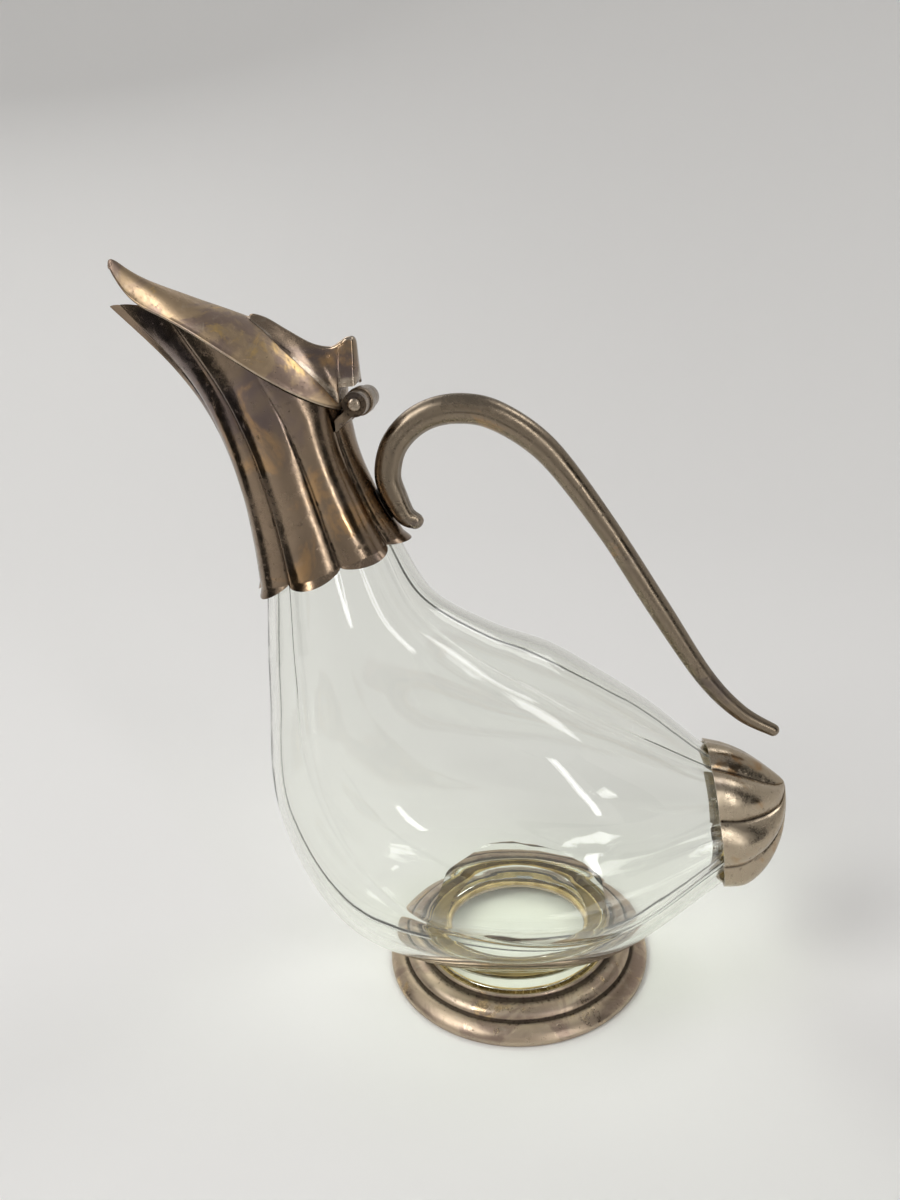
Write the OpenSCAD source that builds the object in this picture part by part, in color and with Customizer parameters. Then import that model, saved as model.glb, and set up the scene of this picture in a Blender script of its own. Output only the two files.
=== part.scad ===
// Claret jug in the shape of a bird: a ribbed glass body in a metal foot, with a fluted metal neck and spout,
// a hinged leaf-shaped lid with a crest for the thumb, a rod handle and a fluted tail cap.
// The origin is on the table under the middle of the jug's length. The spout points to -X and the tail to +X.
// The hinge pin lies along Y, and the jug is symmetric about the plane y = 0.
// The places below are measured from the centre of the foot, and foot_x moves them to the origin.

/* [Glass] */
// Thickness of the glass wall
glass_wall = 2.4; // [1.8:0.1:3]
// Depth of the creases between the ribs of the glass, as a share of the half width there
rib_depth = 0.07; // [0:0.01:0.09]
// Outer diameter of the glass ring under the body
base_ring_d = 66.4; // [64:0.2:68]
// Inner diameter of the glass ring under the body
base_ring_bore = 53; // [48:1:56]
// Room between the glass and the metal where the cement lies
cement_gap = 0.7; // [0.6:0.1:1.2]

/* [Foot] */
// Height of the top edge of the foot
foot_h = 9.6; // [9.2:0.1:9.8]
// Height of the straight band at the rim
foot_band = 2.2; // [1.6:0.1:2.6]
// Width of the upper step of the foot, outside its lip
foot_step_w = 6.4; // [5.8:0.1:7]
// Width of the lower slope of the foot, from the step to the rim
foot_rim_w = 6; // [5.4:0.1:6.8]
// Thickness of the sheet metal of the foot
foot_sheet = 1.2; // [0.8:0.1:1.4]

/* [Neck] */
// Thickness of the sheet metal of the neck and of the tail cap
sheet = 0.9; // [0.7:0.1:1.1]
// Length of the petals below the flutes of the neck
petal_len = 2.6; // [2:0.2:4]
// How far the tips of the petals flare out
petal_flare = 1.6; // [0.4:0.2:2.4]
// Half width of the mouth at its widest place
mouth_half_w = 17; // [15:0.5:18]
// How far the sides of the mouth rise above a straight line from the hinge to the tip
mouth_lift = 8.5; // [4:0.5:9]

/* [Lid] */
// Thickness of the lid
lid_t = 1; // [0.8:0.1:1.4]
// How far the edge of the lid stands out past the mouth
lid_overhang = 0.8; // [0.4:0.1:1.5]
// Height of the dome of the lid
lid_crown = 11; // [8:0.5:13]
// Height of the curl at the tip of the lid
lid_curl = 11.5; // [0:0.5:14]
// Gap between the closed lid and the mouth
lid_gap = 0.5; // [0.4:0.1:1]

/* [Hinge] */
// Diameter of the outer knuckles of the hinge
knuckle_d = 7.4; // [6.4:0.2:8]
// Diameter of the middle knuckle
lid_knuckle_d = 8.6; // [7.4:0.2:8.6]
// Diameter of the hinge pin
pin_d = 2.2; // [1.8:0.1:3]
// Length of the middle knuckle, on the lid
lid_knuckle_len = 6.4; // [5:0.2:8]
// Length of each outer knuckle, on the neck
side_knuckle_len = 6.2; // [4:0.2:7]
// Gap between two knuckles along the pin
knuckle_gap = 0.3; // [0.2:0.05:0.5]
// Radial clearance of the pin in the turning knuckle
turn_fit = 0.05; // [0.03:0.01:0.1]
// Radial clearance of the pin in the fixed knuckles
fixed_fit = 0.02; // [0.01:0.01:0.05]
// Diameter of the heads of the pin
pin_head_d = 4.2; // [3.8:0.2:5]
// Height of the heads of the pin
pin_head_h = 1.1; // [0.8:0.1:1.6]

/* [Handle] */
// Diameter of the handle at its top
handle_d = 9.2; // [8:0.2:9.4]
// Depth of the channel along the inside of the scroll, as a share of the half thickness
channel_depth = 0.3; // [0:0.05:0.4]
// Length along Y of the solder between the neck and the handle
solder_w = 5.2; // [3:0.2:6]

/* [Hidden] */

silver = [0.62, 0.55, 0.47];
dark_silver = [0.45, 0.40, 0.36];
glass_tint = [0.80, 0.86, 0.82];
plaster = [0.86, 0.80, 0.62];

// Eight ribs and flutes go all round the jug, and a ring has six points for each
lobes = 8;
ring_points = 48;
mean_lobe = 0.64;
touch = 0.05;

// A row is one cross-section: the upper or rear point and the lower or front point in the plane y = 0,
// the half width along Y, the depth of the creases, and how pointed the front end is (0 round, 1 leaf)
neck_rows = [
    [-30.7, 162.9, -78.5, 149.1, 24.9, 0.10, 0],
    [-35.8, 172.0, -79.0, 163.0, 21.8, 0.09, 0],
    [-40.0, 182.5, -81.0, 181.5, 20.3, 0.085, 0],
    [-42.4, 190.5, -87.0, 200.5, 19.0, 0.07, 0.15],
    [-43.5, 197.5, -97.5, 218.2, 17.8, 0.045, 0.5],
    [-44.0, 203.0, -115.0, 237.5, mouth_half_w, 0.015, 1]
];
mouth_row = neck_rows[len(neck_rows) - 1];

cap_rows = [
    [67.0, 85.4, 72.2, 35.9, 23.4, 0.11, 0],
    [73.3, 83.8, 78.8, 36.8, 22.1, 0.15, 0],
    [79.6, 81.0, 84.2, 41.4, 19.0, 0.20, 0],
    [84.8, 77.8, 88.4, 47.4, 14.8, 0.23, 0],
    [88.8, 75.0, 91.5, 55.0, 10.0, 0.23, 0],
    [91.2, 73.4, 92.9, 64.0, 5.0, 0.19, 0],
    [92.3, 72.5, 92.9, 70.2, 1.4, 0.08, 0]
];

// The glass runs from its closed end in the tail cap to its open end in the neck
glass_in = sheet + cement_gap;
body_rows = [
    [48.6, 99.0, 29.5, 12.6, 44.5, rib_depth, 0],
    [31.3, 110.8, -15.7, 8.7, 53.0, rib_depth, 0],
    [15.3, 121.2, -60.2, 20.5, 48.5, rib_depth, 0],
    [-3.3, 129.2, -82.6, 60.8, 37.5, rib_depth, 0],
    [-22.5, 142.0, -80.6, 110.2, 27.5, rib_depth, 0]
];
glass_rows = concat(
    [with_depth(grown(cap_rows[3], -glass_in - 8), 0),
     with_depth(grown(cap_rows[2], -glass_in - 2.6), rib_depth),
     with_depth(grown(cap_rows[1], -glass_in - 0.8), cap_rows[0][5]),
     with_depth(grown(cap_rows[0], -glass_in), cap_rows[0][5])],
    body_rows,
    [with_depth(grown(neck_rows[0], -glass_in - 0.7), rib_depth),
     with_depth(grown(neck_rows[1], -glass_in - 0.9), rib_depth),
     with_depth(grown(neck_rows[2], -glass_in - 1.2), rib_depth)]
);
neck_end = len(glass_rows) - 3;

// The base ring of the glass stands on cement on the inner ledge of the foot
cement_t = 1;
ledge_z = 6.4;
base_ring_z = ledge_z + cement_t;
base_ring_top = 20;
// The ring widens by this much from the lip of the foot up to the body
base_ring_flare = 4;
bed_top_z = foot_h - 0.8;
bed_sleeve = 0.95;
sleeve_top_z = base_ring_z + 0.6;
throat_r = base_ring_d / 2 + cement_gap;
ledge_bore_r = base_ring_bore / 2 - bed_sleeve - 0.3;

// The hinge axis lies just behind the mouth
hinge_x = -39.5;
hinge_z = 205.3;
side_knuckle_y = lid_knuckle_len / 2 + knuckle_gap;
pin_half_len = side_knuckle_y + side_knuckle_len;

// The lid lies on the line of the mouth but ends a little before its tip
lid_rear_t = 164;
lid_tip_t = 6;
lid_reach = 0.955;
// The tip of the lid is blunter than the spout
lid_point = 0.7;
lid_tip_half_w = 3;
lid_row = grown(
    [mouth_row[0], mouth_row[1],
     mouth_row[0] + (mouth_row[2] - mouth_row[0]) * lid_reach,
     mouth_row[1] + (mouth_row[3] - mouth_row[1]) * lid_reach,
     mouth_row[4], 0, 1],
    lid_overhang);

// A row of the crest: x, half width at the foot, height of its ridge, half width of the ridge
crest_rows = [
    [-71.4, 1.0, 232.2, 0.4],
    [-70.2, 2.8, 232.8, 0.8],
    [-66.0, 5.6, 231.3, 0.9],
    [-60.0, 8.4, 227.4, 1.0],
    [-53.0, 8.8, 223.2, 1.2],
    [-47.4, 7.2, 222.0, 1.7],
    [-44.0, 6.0, 223.4, 2.5],
    [-41.8, 5.2, 224.6, 3.3],
    [-41.0, 4.6, 224.2, 2.8],
    [-40.6, 3.2, 222.6, 1.4]
];
// Behind the lid the foot of the crest arches over the knuckle from this height
crest_foot_rear_z = 210.2;
crest_arch = 0.6;
crest_steps = 27;
crest_gap = 0.15;

// Steps from one row to the next, and in all for the lid
glass_steps = 4;
glass_inner_steps = 3;
neck_steps = 4;
cap_steps = 3;
lid_steps = 24;
// Share of the lid's length where its curl starts, and how sharply the curl rises from there
curl_start = 0.7;
curl_power = 4.5;
// Height of the lid's dome from the rear to the tip, as a share of the crown
crown_rows = [[0], [0.68], [0.98], [0.98], [0.84], [0.70], [0.64], [0.65], [0.62]];
// How much of the dome is lost at the very tip, and how late
tip_drop = 0.75;
tip_drop_power = 28;

// The straps of the hinge run forward and down from its axis to the neck
strap_x = hinge_x - 6.5;
strap_top_z = hinge_z - 4.3;
strap_low_z = strap_top_z - 3.5;

// A row of the handle: x, z and thickness as a share of its diameter, from the scroll to the free tip
handle_rows = [
    [-25.6, 166.8, 0.62],
    [-28.6, 168.9, 0.78],
    [-31.0, 174.2, 0.92],
    [-32.9, 181.5, 1],
    [-30.6, 190.3, 1],
    [-24.7, 196.9, 1],
    [-17.0, 200.6, 1],
    [-8.0, 201.3, 1],
    [1.0, 199.0, 0.98],
    [12.0, 191.9, 0.93],
    [21.2, 182.0, 0.86],
    [35.5, 160.9, 0.78],
    [50.6, 135.5, 0.78],
    [65.5, 111.2, 0.67],
    [77.2, 98.2, 0.57],
    [88.0, 91.6, 0.45]
];

handle_steps = 60;
handle_points = 16;
// The channel fades out at this row of the handle
channel_end = 7;

// The jug's length is centred on the origin, between the spout and the cap on the tail
foot_x = -(row_point(mouth_row, 0)[0] + max([for (r = rings(cap_rows, 0, 6, cap_steps, 0), q = r) q[0]])) / 2;

// Curve through the rows, where a whole number p is a row
function smooth(a, b, c, d, u) =
    0.5 * (2 * b + (c - a) * u + (2 * a - 5 * b + 4 * c - d) * u * u + (3 * b - a - 3 * c + d) * u * u * u);
function row_at(rows, p) =
    let (last = len(rows) - 1, i = min(floor(p), last - 1), u = p - i)
    smooth(rows[max(i - 1, 0)], rows[i], rows[i + 1], rows[min(i + 2, last)], u);

// A row moved outwards by d all round, or inwards where d is negative
function grown(row, d) =
    let (dx = row[2] - row[0], dz = row[3] - row[1], l = sqrt(dx * dx + dz * dz))
    [row[0] - d * dx / l, row[1] - d * dz / l, row[2] + d * dx / l, row[3] + d * dz / l,
     row[4] + d, row[5], row[6]];
function with_depth(row, depth) = [row[0], row[1], row[2], row[3], row[4], depth, row[6]];

// Half width of the leaf at angle t, where 0 is its point, as a share of the widest place
function leaf(t, point) =
    let (k = max(0, point))
    sin(t) * pow(abs(sin(t / 2)), 2 * k) / (1 - 0.57 * k + 0.22 * k * k);
function crease(t, depth) = 1 + depth * (abs(cos(lobes * t / 2)) - mean_lobe);

// One point of a row's cross-section, where angle 0 is the lower or front point
function row_point(row, t) =
    let (k = crease(t, row[5]),
         along = (1 + k * cos(t)) / 2,
         lift = mouth_lift * row[6] * row[6] * pow(abs(sin(t)), 1.5) * (1 + cos(t)) / 2)
    [row[0] + (row[2] - row[0]) * along,
     row[4] * leaf(t, row[6]) * k,
     row[1] + (row[3] - row[1]) * along + lift];
function ring(row) = [for (i = [0:ring_points - 1]) row_point(row, 360 * i / ring_points)];

// Rings of a row list from one row number to another, with some steps for each row, grown by d
function rings(rows, from, to, steps, d) =
    let (count = round(abs(to - from) * steps))
    [for (i = [0:count]) ring(grown(row_at(rows, from + (to - from) * i / count), d))];

// Solid through rings of equal length, closed by a flat face at each end
module loft(r) {
    m = len(r);
    n = len(r[0]);
    sides = [for (i = [0:m - 2], j = [0:n - 1])
        let (k = (j + 1) % n) each [
            [i * n + j, i * n + k, (i + 1) * n + k],
            [i * n + j, (i + 1) * n + k, (i + 1) * n + j]]];
    start = [[for (j = [0:n - 1]) n - 1 - j]];
    end = [[for (j = [0:n - 1]) (m - 1) * n + j]];
    polyhedron([for (a = r) each a], concat(sides, start, end));
}

// Solid through rings that come back to the first one
module loft_loop(r) {
    m = len(r);
    n = len(r[0]);
    sides = [for (i = [0:m - 1], j = [0:n - 1])
        let (k = (j + 1) % n, up = (i + 1) % m) each [
            [i * n + j, i * n + k, up * n + k],
            [i * n + j, up * n + k, up * n + j]]];
    polyhedron([for (a = r) each a], sides);
}

// Moves a piece from the centre of the foot to its place in the jug
module placed() {
    translate([foot_x, 0, 0]) children();
}

// Turns a profile of distance from the axis and height about the Z axis
module turned(profile) {
    rotate_extrude($fn = 96) polygon(profile);
}

// A cylinder along Y through the hinge axis, between two places
module rod_y(r, y0, y1) {
    translate([hinge_x, y0, hinge_z]) rotate([-90, 0, 0]) cylinder(r = r, h = y1 - y0, $fn = 48);
}

// A plate across Y with its outline in the plane of X and Z
module plate_y(outline, y0, y1) {
    translate([0, y1, 0]) rotate([90, 0, 0]) linear_extrude(y1 - y0) polygon(outline);
}

// The inner face starts short of the closed tail end and runs out through the open neck end
module glass_body() color(glass_tint) placed() {
    last = len(glass_rows) - 1;
    difference() {
        union() {
            loft(rings(glass_rows, 0, last - 1 / glass_steps, glass_steps, 0));
            turned([[base_ring_bore / 2, base_ring_z], [base_ring_d / 2, base_ring_z],
                    [base_ring_d / 2, foot_h], [base_ring_d / 2 + base_ring_flare / 4, (foot_h + base_ring_top) / 2],
                    [base_ring_d / 2 + base_ring_flare, base_ring_top], [base_ring_bore / 2, base_ring_top]]);
        }
        loft(rings(glass_rows, 0.5, last, glass_inner_steps, -glass_wall));
    }
}

module foot_ring() color(silver) placed() {
    lip_r = throat_r + foot_sheet;
    step_r = lip_r + foot_step_w;
    foot_r = step_r + foot_rim_w;
    inner_r = foot_r - 2 * foot_sheet;
    turned([
        [inner_r, 0], [foot_r - 0.4, 0], [foot_r, 0.4], [foot_r, foot_band - 0.5], [foot_r - 0.4, foot_band],
        [foot_r - 1.3, foot_band + 1.1], [foot_r - 2.6, foot_band + 2], [step_r + 1.8, foot_band + 2.7],
        [step_r + 0.5, foot_band + 2.9], [step_r, foot_band + 3.3], [step_r - 0.5, foot_band + 4.4],
        [step_r - 1.7, foot_band + 5.3], [step_r - 3.4, foot_band + 5.8], [lip_r + 0.8, foot_band + 6],
        [lip_r + 0.2, foot_h - 1.5], [lip_r, foot_h - 0.5], [lip_r - 0.4, foot_h], [throat_r + 0.3, foot_h],
        [throat_r, foot_h - 0.4],
        [throat_r, ledge_z], [ledge_bore_r, ledge_z], [ledge_bore_r, ledge_z - foot_sheet],
        [step_r - foot_sheet, ledge_z - foot_sheet], [inner_r, foot_band - foot_sheet / 2]
    ]);
}

module foot_cement() color(plaster) placed() {
    ring_r = base_ring_d / 2 + touch;
    bore_r = base_ring_bore / 2 - touch;
    turned([
        [bore_r - bed_sleeve, ledge_z], [throat_r - touch, ledge_z], [throat_r - touch, bed_top_z],
        [ring_r, bed_top_z], [ring_r, base_ring_z], [bore_r, base_ring_z], [bore_r, sleeve_top_z],
        [bore_r - bed_sleeve, sleeve_top_z]
    ]);
}

// A ring of the petals, which reach below the first row of the neck where the flutes stand out
function petal_ring(share, d) =
    let (row = neck_rows[0], dx = row[2] - row[0], dz = row[3] - row[1], l = sqrt(dx * dx + dz * dz),
         edge = ring(grown(row, d)), wide = ring(grown(row, d + petal_flare * share)))
    [for (i = [0:ring_points - 1])
        let (k = 0.05 + 0.95 * pow(abs(cos(lobes * 180 * i / ring_points)), 0.7),
             down = petal_len * share * k / l)
        edge[i] + (wide[i] - edge[i]) * k + [-dz * down, 0, dx * down]];

module neck_collar() color(silver) placed() {
    last = len(neck_rows) - 1;
    loft_loop(concat(
        [petal_ring(1, 0), petal_ring(0.5, 0)],
        rings(neck_rows, 0, last, neck_steps, 0),
        rings(neck_rows, last, 0, neck_steps, -sheet),
        [petal_ring(0.5, -sheet), petal_ring(1, -sheet)]));
}

module collar_cement() color(plaster) placed() {
    loft_loop(concat(
        rings(neck_rows, 0.25, 1.5, neck_steps, -sheet - touch),
        rings(glass_rows, neck_end + 1.5, neck_end + 0.25, glass_steps, touch)));
}

module tail_cement() color(plaster) placed() {
    loft_loop(concat(
        rings(cap_rows, 2 / cap_steps, 5 / cap_steps, cap_steps, -sheet - touch),
        rings(glass_rows, 1.5, 2.25, glass_steps, touch)));
}

module tail_cap() color(silver) placed() {
    last = len(cap_rows) - 1;
    inner = len(cap_rows) - 3;
    loft(concat(
        rings(cap_rows, last, 0, cap_steps, 0),
        rings(cap_rows, 0, inner, cap_steps, -sheet)));
}

// The lid as a function of the angle t round its edge: place along the mouth, half width and height of the edge
function lid_edge(t) =
    let (p = row_point(lid_row, t),
         s = (1 + cos(t)) / 2,
         curl = lid_curl * pow(max(0, (s - curl_start) / (1 - curl_start)), curl_power))
    [p[0], lid_row[4] * leaf(t, lid_point) + lid_tip_half_w * pow(abs(sin(t)), 0.4) * pow(s, 6),
     p[2] + lid_gap + lid_t + curl];
function crown_at(t) =
    let (s = (1 + cos(t)) / 2)
    lid_crown * row_at(crown_rows, (len(crown_rows) - 1) * s)[0] * (1 - tip_drop * pow(s, tip_drop_power));
// Height of the lid's upper face at a share v of the half width
function lid_top(t, v) = lid_edge(t)[2] + crown_at(t) * (1 - pow(abs(v), 2.2));

module lid() color(silver) placed() {
    cross = 12;
    loft([for (i = [0:lid_steps])
        let (t = lid_rear_t + (lid_tip_t - lid_rear_t) * i / lid_steps, e = lid_edge(t))
        concat(
            [for (j = [0:cross]) let (v = 1 - 2 * j / cross) [e[0], v * e[1], lid_top(t, v)]],
            [for (j = [0:cross]) let (v = 2 * j / cross - 1) [e[0], v * e[1], lid_top(t, v) - lid_t]])]);
}

// The angle round the lid's edge at a place x
function lid_angle(x) = acos(max(-1, min(1, 2 * (lid_row[0] - x) / (lid_row[0] - lid_row[2]) - 1)));

// Cross-section of the crest: its foot follows the lid, and its sides draw in to the ridge
function crest_ring(row) =
    let (t = lid_angle(row[0]), half = abs(lid_edge(t)[1]), on_lid = row[0] < lid_edge(lid_rear_t)[0],
         sides = 5, foot = 6,
         foot_z = [for (j = [0:foot])
             let (v = abs(1 - 2 * j / foot))
             on_lid ? lid_top(t, min(1, v * row[1] / half)) + crest_gap
                    : crest_foot_rear_z + crest_arch * (1 - v * v)],
         side = [for (j = [1:sides])
             [row[3] + (row[1] - row[3]) * pow(1 - j / sides, 2),
              foot_z[0] + (row[2] - foot_z[0]) * sin(90 * j / sides)]])
    concat(
        [for (j = [0:foot]) [row[0], row[1] * (1 - 2 * j / foot), foot_z[j]]],
        [for (j = [0:sides - 1]) [row[0], -side[j][0], side[j][1]]],
        [for (j = [sides - 1:-1:0]) [row[0], side[j][0], side[j][1]]]);

module lid_crest() color(silver) placed() {
    last = len(crest_rows) - 1;
    loft([for (i = [0:crest_steps]) crest_ring(row_at(crest_rows, last * i / crest_steps))]);
}

module lid_knuckle() color(dark_silver) placed() {
    half = lid_knuckle_len / 2;
    rear = lid_edge(lid_rear_t);
    difference() {
        union() {
            rod_y(lid_knuckle_d / 2, -half, half);
            plate_y([[rear[0], rear[2] - lid_t], [rear[0], rear[2] + lid_t],
                     [hinge_x, hinge_z + lid_knuckle_d / 2 - lid_t], [hinge_x, hinge_z]], -half, half);
        }
        rod_y(pin_d / 2 + turn_fit, -half - 1, half + 1);
    }
}

// The straps of the outer knuckles are cut to the outer face of the neck
module hinge_bracket() color(dark_silver) placed() {
    last = len(neck_rows) - 1;
    for (y0 = [-pin_half_len, side_knuckle_y])
        difference() {
            union() {
                rod_y(knuckle_d / 2, y0, y0 + side_knuckle_len);
                plate_y([[hinge_x + knuckle_d / 2 - 0.2, hinge_z], [hinge_x - 1, hinge_z],
                         [strap_x, strap_top_z], [strap_x, strap_low_z]], y0, y0 + side_knuckle_len);
            }
            rod_y(pin_d / 2 + fixed_fit, y0 - 1, y0 + side_knuckle_len + 1);
            loft(rings(neck_rows, last - 2, last, neck_steps, touch));
        }
}

module hinge_pin() color(silver) placed() {
    rod_y(pin_d / 2, -pin_half_len, pin_half_len);
    for (side = [-1, 1])
        translate([hinge_x, side * pin_half_len, hinge_z]) rotate([-90 * side, 0, 0])
            rotate_extrude($fn = 48) polygon([
                [0, 0], [pin_head_d / 2, 0], [pin_head_d / 2, pin_head_h / 3],
                [pin_head_d / 3, pin_head_h * 0.85], [0, pin_head_h]]);
}

// Cross-section of the handle, with the channel on its inner side at angle 0
function handle_ring(p, scale, shift) =
    let (row = row_at(handle_rows, p),
         next = row_at(handle_rows, min(p + 0.02, len(handle_rows) - 1)),
         back = row_at(handle_rows, max(p - 0.02, 0)),
         dx = next[0] - back[0], dz = next[1] - back[1], l = sqrt(dx * dx + dz * dz),
         r = handle_d / 2 * row[2] * scale,
         deep = channel_depth * max(0, 1 - p / channel_end))
    [for (j = [0:handle_points - 1])
        let (a = 360 * j / handle_points,
             near = min(a, 360 - a),
             k = r * (1 - deep * max(0, cos(2 * near)) * (near < 45 ? 1 : 0)))
        [row[0] + k * cos(a) * dz / l + shift * dx / l, -k * sin(a), row[1] - k * cos(a) * dx / l + shift * dz / l]];

module handle() color(silver) placed() {
    last = len(handle_rows) - 1;
    r0 = handle_d / 2 * handle_rows[0][2];
    r1 = handle_d / 2 * handle_rows[last][2];
    loft(concat(
        [handle_ring(0, 0.5, -0.85 * r0), handle_ring(0, 0.86, -0.5 * r0)],
        [for (i = [0:handle_steps]) handle_ring(last * i / handle_steps, 1, 0)],
        [handle_ring(last, 0.86, 0.5 * r1), handle_ring(last, 0.5, 0.85 * r1)]));
}

// The solder fills the narrow place between the rear of the neck and the scroll of the handle
module handle_solder() color(dark_silver) placed() {
    neck_side = [for (i = [0:4]) row_point(row_at(neck_rows, 0.6 + 0.9 * i / 4), 180)];
    handle_side = [for (i = [0:4]) handle_ring(2.4 - 1.1 * i / 4, 1, 0)[handle_points / 2]];
    plate_y(concat(
        [for (q = neck_side) [q[0] + touch, q[2]]],
        [for (q = handle_side) [q[0] - touch, q[2]]]), -solder_w / 2, solder_w / 2);
}

glass_body();
foot_ring();
foot_cement();
neck_collar();
collar_cement();
tail_cap();
tail_cement();
lid();
lid_crest();
lid_knuckle();
hinge_bracket();
hinge_pin();
handle();
handle_solder();
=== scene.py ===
"""Claret jug in the shape of a bird: ribbed glass, fluted neck, hinged leaf lid and scroll handle."""

import logging
import math
from collections.abc import Iterator
from contextlib import contextmanager
from dataclasses import dataclass, field
from enum import Enum

import bmesh
import bpy
import numpy as np
from mathutils import Matrix, Vector


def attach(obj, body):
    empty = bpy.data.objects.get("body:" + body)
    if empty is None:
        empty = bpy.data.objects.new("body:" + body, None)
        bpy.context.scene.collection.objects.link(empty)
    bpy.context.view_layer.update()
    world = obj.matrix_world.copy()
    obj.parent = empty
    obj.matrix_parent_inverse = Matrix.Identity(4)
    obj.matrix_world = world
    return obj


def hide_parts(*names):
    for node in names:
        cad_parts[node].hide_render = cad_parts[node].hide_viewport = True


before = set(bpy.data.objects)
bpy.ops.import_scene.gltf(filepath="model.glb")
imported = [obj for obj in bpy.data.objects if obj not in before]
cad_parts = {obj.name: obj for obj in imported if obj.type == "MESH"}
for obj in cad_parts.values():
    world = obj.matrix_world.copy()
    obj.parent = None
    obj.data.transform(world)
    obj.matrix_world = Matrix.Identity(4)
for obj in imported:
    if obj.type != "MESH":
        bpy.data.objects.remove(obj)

LOG = logging.getLogger("claret_jug")
MM = 0.001
TURN = 2 * math.pi

Point = tuple[float, float]
Color = tuple[float, float, float]

RIBS = 8
MEAN_RIB = 0.64
TOUCH = 0.05
SHEET = 0.9
CEMENT_GAP = 0.7
GLASS_WALL = 2.4
GLASS_IN = SHEET + CEMENT_GAP
RIB_DEPTH = 0.07
MOUTH_LIFT = 8.5

# A row is one cross-section, in millimetres from the centre of the foot: the rear or upper point (x, z) and
# the front or lower point (x, z) in the mirror plane, the half width, the creases' depth and the leaf point.
NECK_ROWS = np.array([
    [-30.7, 162.9, -78.5, 149.1, 24.9, 0.10, 0],
    [-35.8, 172.0, -79.0, 163.0, 21.8, 0.09, 0],
    [-40.0, 182.5, -81.0, 181.5, 20.3, 0.085, 0],
    [-42.4, 190.5, -87.0, 200.5, 19.0, 0.07, 0.15],
    [-43.5, 197.5, -97.5, 218.2, 17.8, 0.045, 0.5],
    [-44.0, 203.0, -115.0, 237.5, 17.0, 0.015, 1],
])
CAP_ROWS = np.array([
    [67.0, 85.4, 72.2, 35.9, 23.4, 0.11, 0],
    [73.3, 83.8, 78.8, 36.8, 22.1, 0.15, 0],
    [79.6, 81.0, 84.2, 41.4, 19.0, 0.20, 0],
    [84.8, 77.8, 88.4, 47.4, 14.8, 0.23, 0],
    [88.8, 75.0, 91.5, 55.0, 10.0, 0.23, 0],
    [91.2, 73.4, 92.9, 64.0, 5.0, 0.19, 0],
    [92.3, 72.5, 92.9, 70.2, 1.4, 0.08, 0],
])
BODY_ROWS = np.array([
    [48.6, 99.0, 29.5, 12.6, 44.5, RIB_DEPTH, 0],
    [31.3, 110.8, -15.7, 8.7, 53.0, RIB_DEPTH, 0],
    [15.3, 121.2, -60.2, 20.5, 48.5, RIB_DEPTH, 0],
    [-3.3, 129.2, -82.6, 60.8, 37.5, RIB_DEPTH, 0],
    [-22.5, 142.0, -80.6, 110.2, 27.5, RIB_DEPTH, 0],
])
CROWN_SHARES = np.array([[0], [0.68], [0.98], [0.98], [0.84], [0.70], [0.64], [0.65], [0.62]])
CREST_ROWS = np.array([
    [-71.4, 1.0, 232.2, 0.4],
    [-70.2, 2.8, 232.8, 0.8],
    [-66.0, 5.6, 231.3, 0.9],
    [-60.0, 8.4, 227.4, 1.0],
    [-53.0, 8.8, 223.2, 1.2],
    [-47.4, 7.2, 222.0, 1.7],
    [-44.0, 6.0, 223.4, 2.0],
    [-42.3, 5.3, 224.4, 2.2],
    [-40.6, 4.9, 224.6, 2.2],
])
HANDLE_ROWS = np.array([
    [-25.6, 166.8, 0.62],
    [-28.6, 168.9, 0.78],
    [-31.0, 174.2, 0.92],
    [-32.9, 181.5, 1],
    [-30.6, 190.3, 1],
    [-24.7, 196.9, 1],
    [-17.0, 200.6, 1],
    [-8.0, 201.3, 1],
    [1.0, 199.0, 0.98],
    [12.0, 191.9, 0.93],
    [21.2, 182.0, 0.86],
    [35.5, 160.9, 0.78],
    [50.6, 135.5, 0.78],
    [65.5, 111.2, 0.67],
    [77.2, 98.2, 0.57],
    [88.0, 91.6, 0.45],
])


def row_at(rows: np.ndarray, place: float) -> np.ndarray:
    """Curve smoothly through a list of rows.

    Args:
        rows: One row of numbers for each whole place.
        place: Place along the list, where 0 is the first row.

    Returns:
        The row at that place.
    """
    last = len(rows) - 1
    i = int(min(math.floor(place), last - 1))
    u = place - i
    a, b, c, d = rows[max(i - 1, 0)], rows[i], rows[i + 1], rows[min(i + 2, last)]
    bend = 2 * a - 5 * b + 4 * c - d
    twist = 3 * b - a - 3 * c + d
    return 0.5 * (2 * b + (c - a) * u + bend * u * u + twist * u**3)


def grown(row: np.ndarray, by: float) -> np.ndarray:
    """Move a cross-section outwards all round.

    Args:
        row: The cross-section.
        by: Distance in millimetres, negative for inwards.

    Returns:
        The moved cross-section.
    """
    dx, dz = row[2] - row[0], row[3] - row[1]
    length = math.hypot(dx, dz)
    out = row.copy()
    out[:4] += np.array([-dx, -dz, dx, dz]) * by / length
    out[4] += by
    return out


def with_depth(row: np.ndarray, depth: float) -> np.ndarray:
    """Return a cross-section with another depth of its creases."""
    out = row.copy()
    out[5] = depth
    return out


def leaf(t: np.ndarray, point: float) -> np.ndarray:
    """Half width round a cross-section, as a share of its widest place.

    Args:
        t: Angles from the front point, in radians.
        point: 0 for an oval, 1 for a leaf with its point at the front.

    Returns:
        The share at each angle.
    """
    k = max(0.0, point)
    return np.sin(t) * np.abs(np.sin(t / 2)) ** (2 * k) / (1 - 0.57 * k + 0.22 * k * k)


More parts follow.
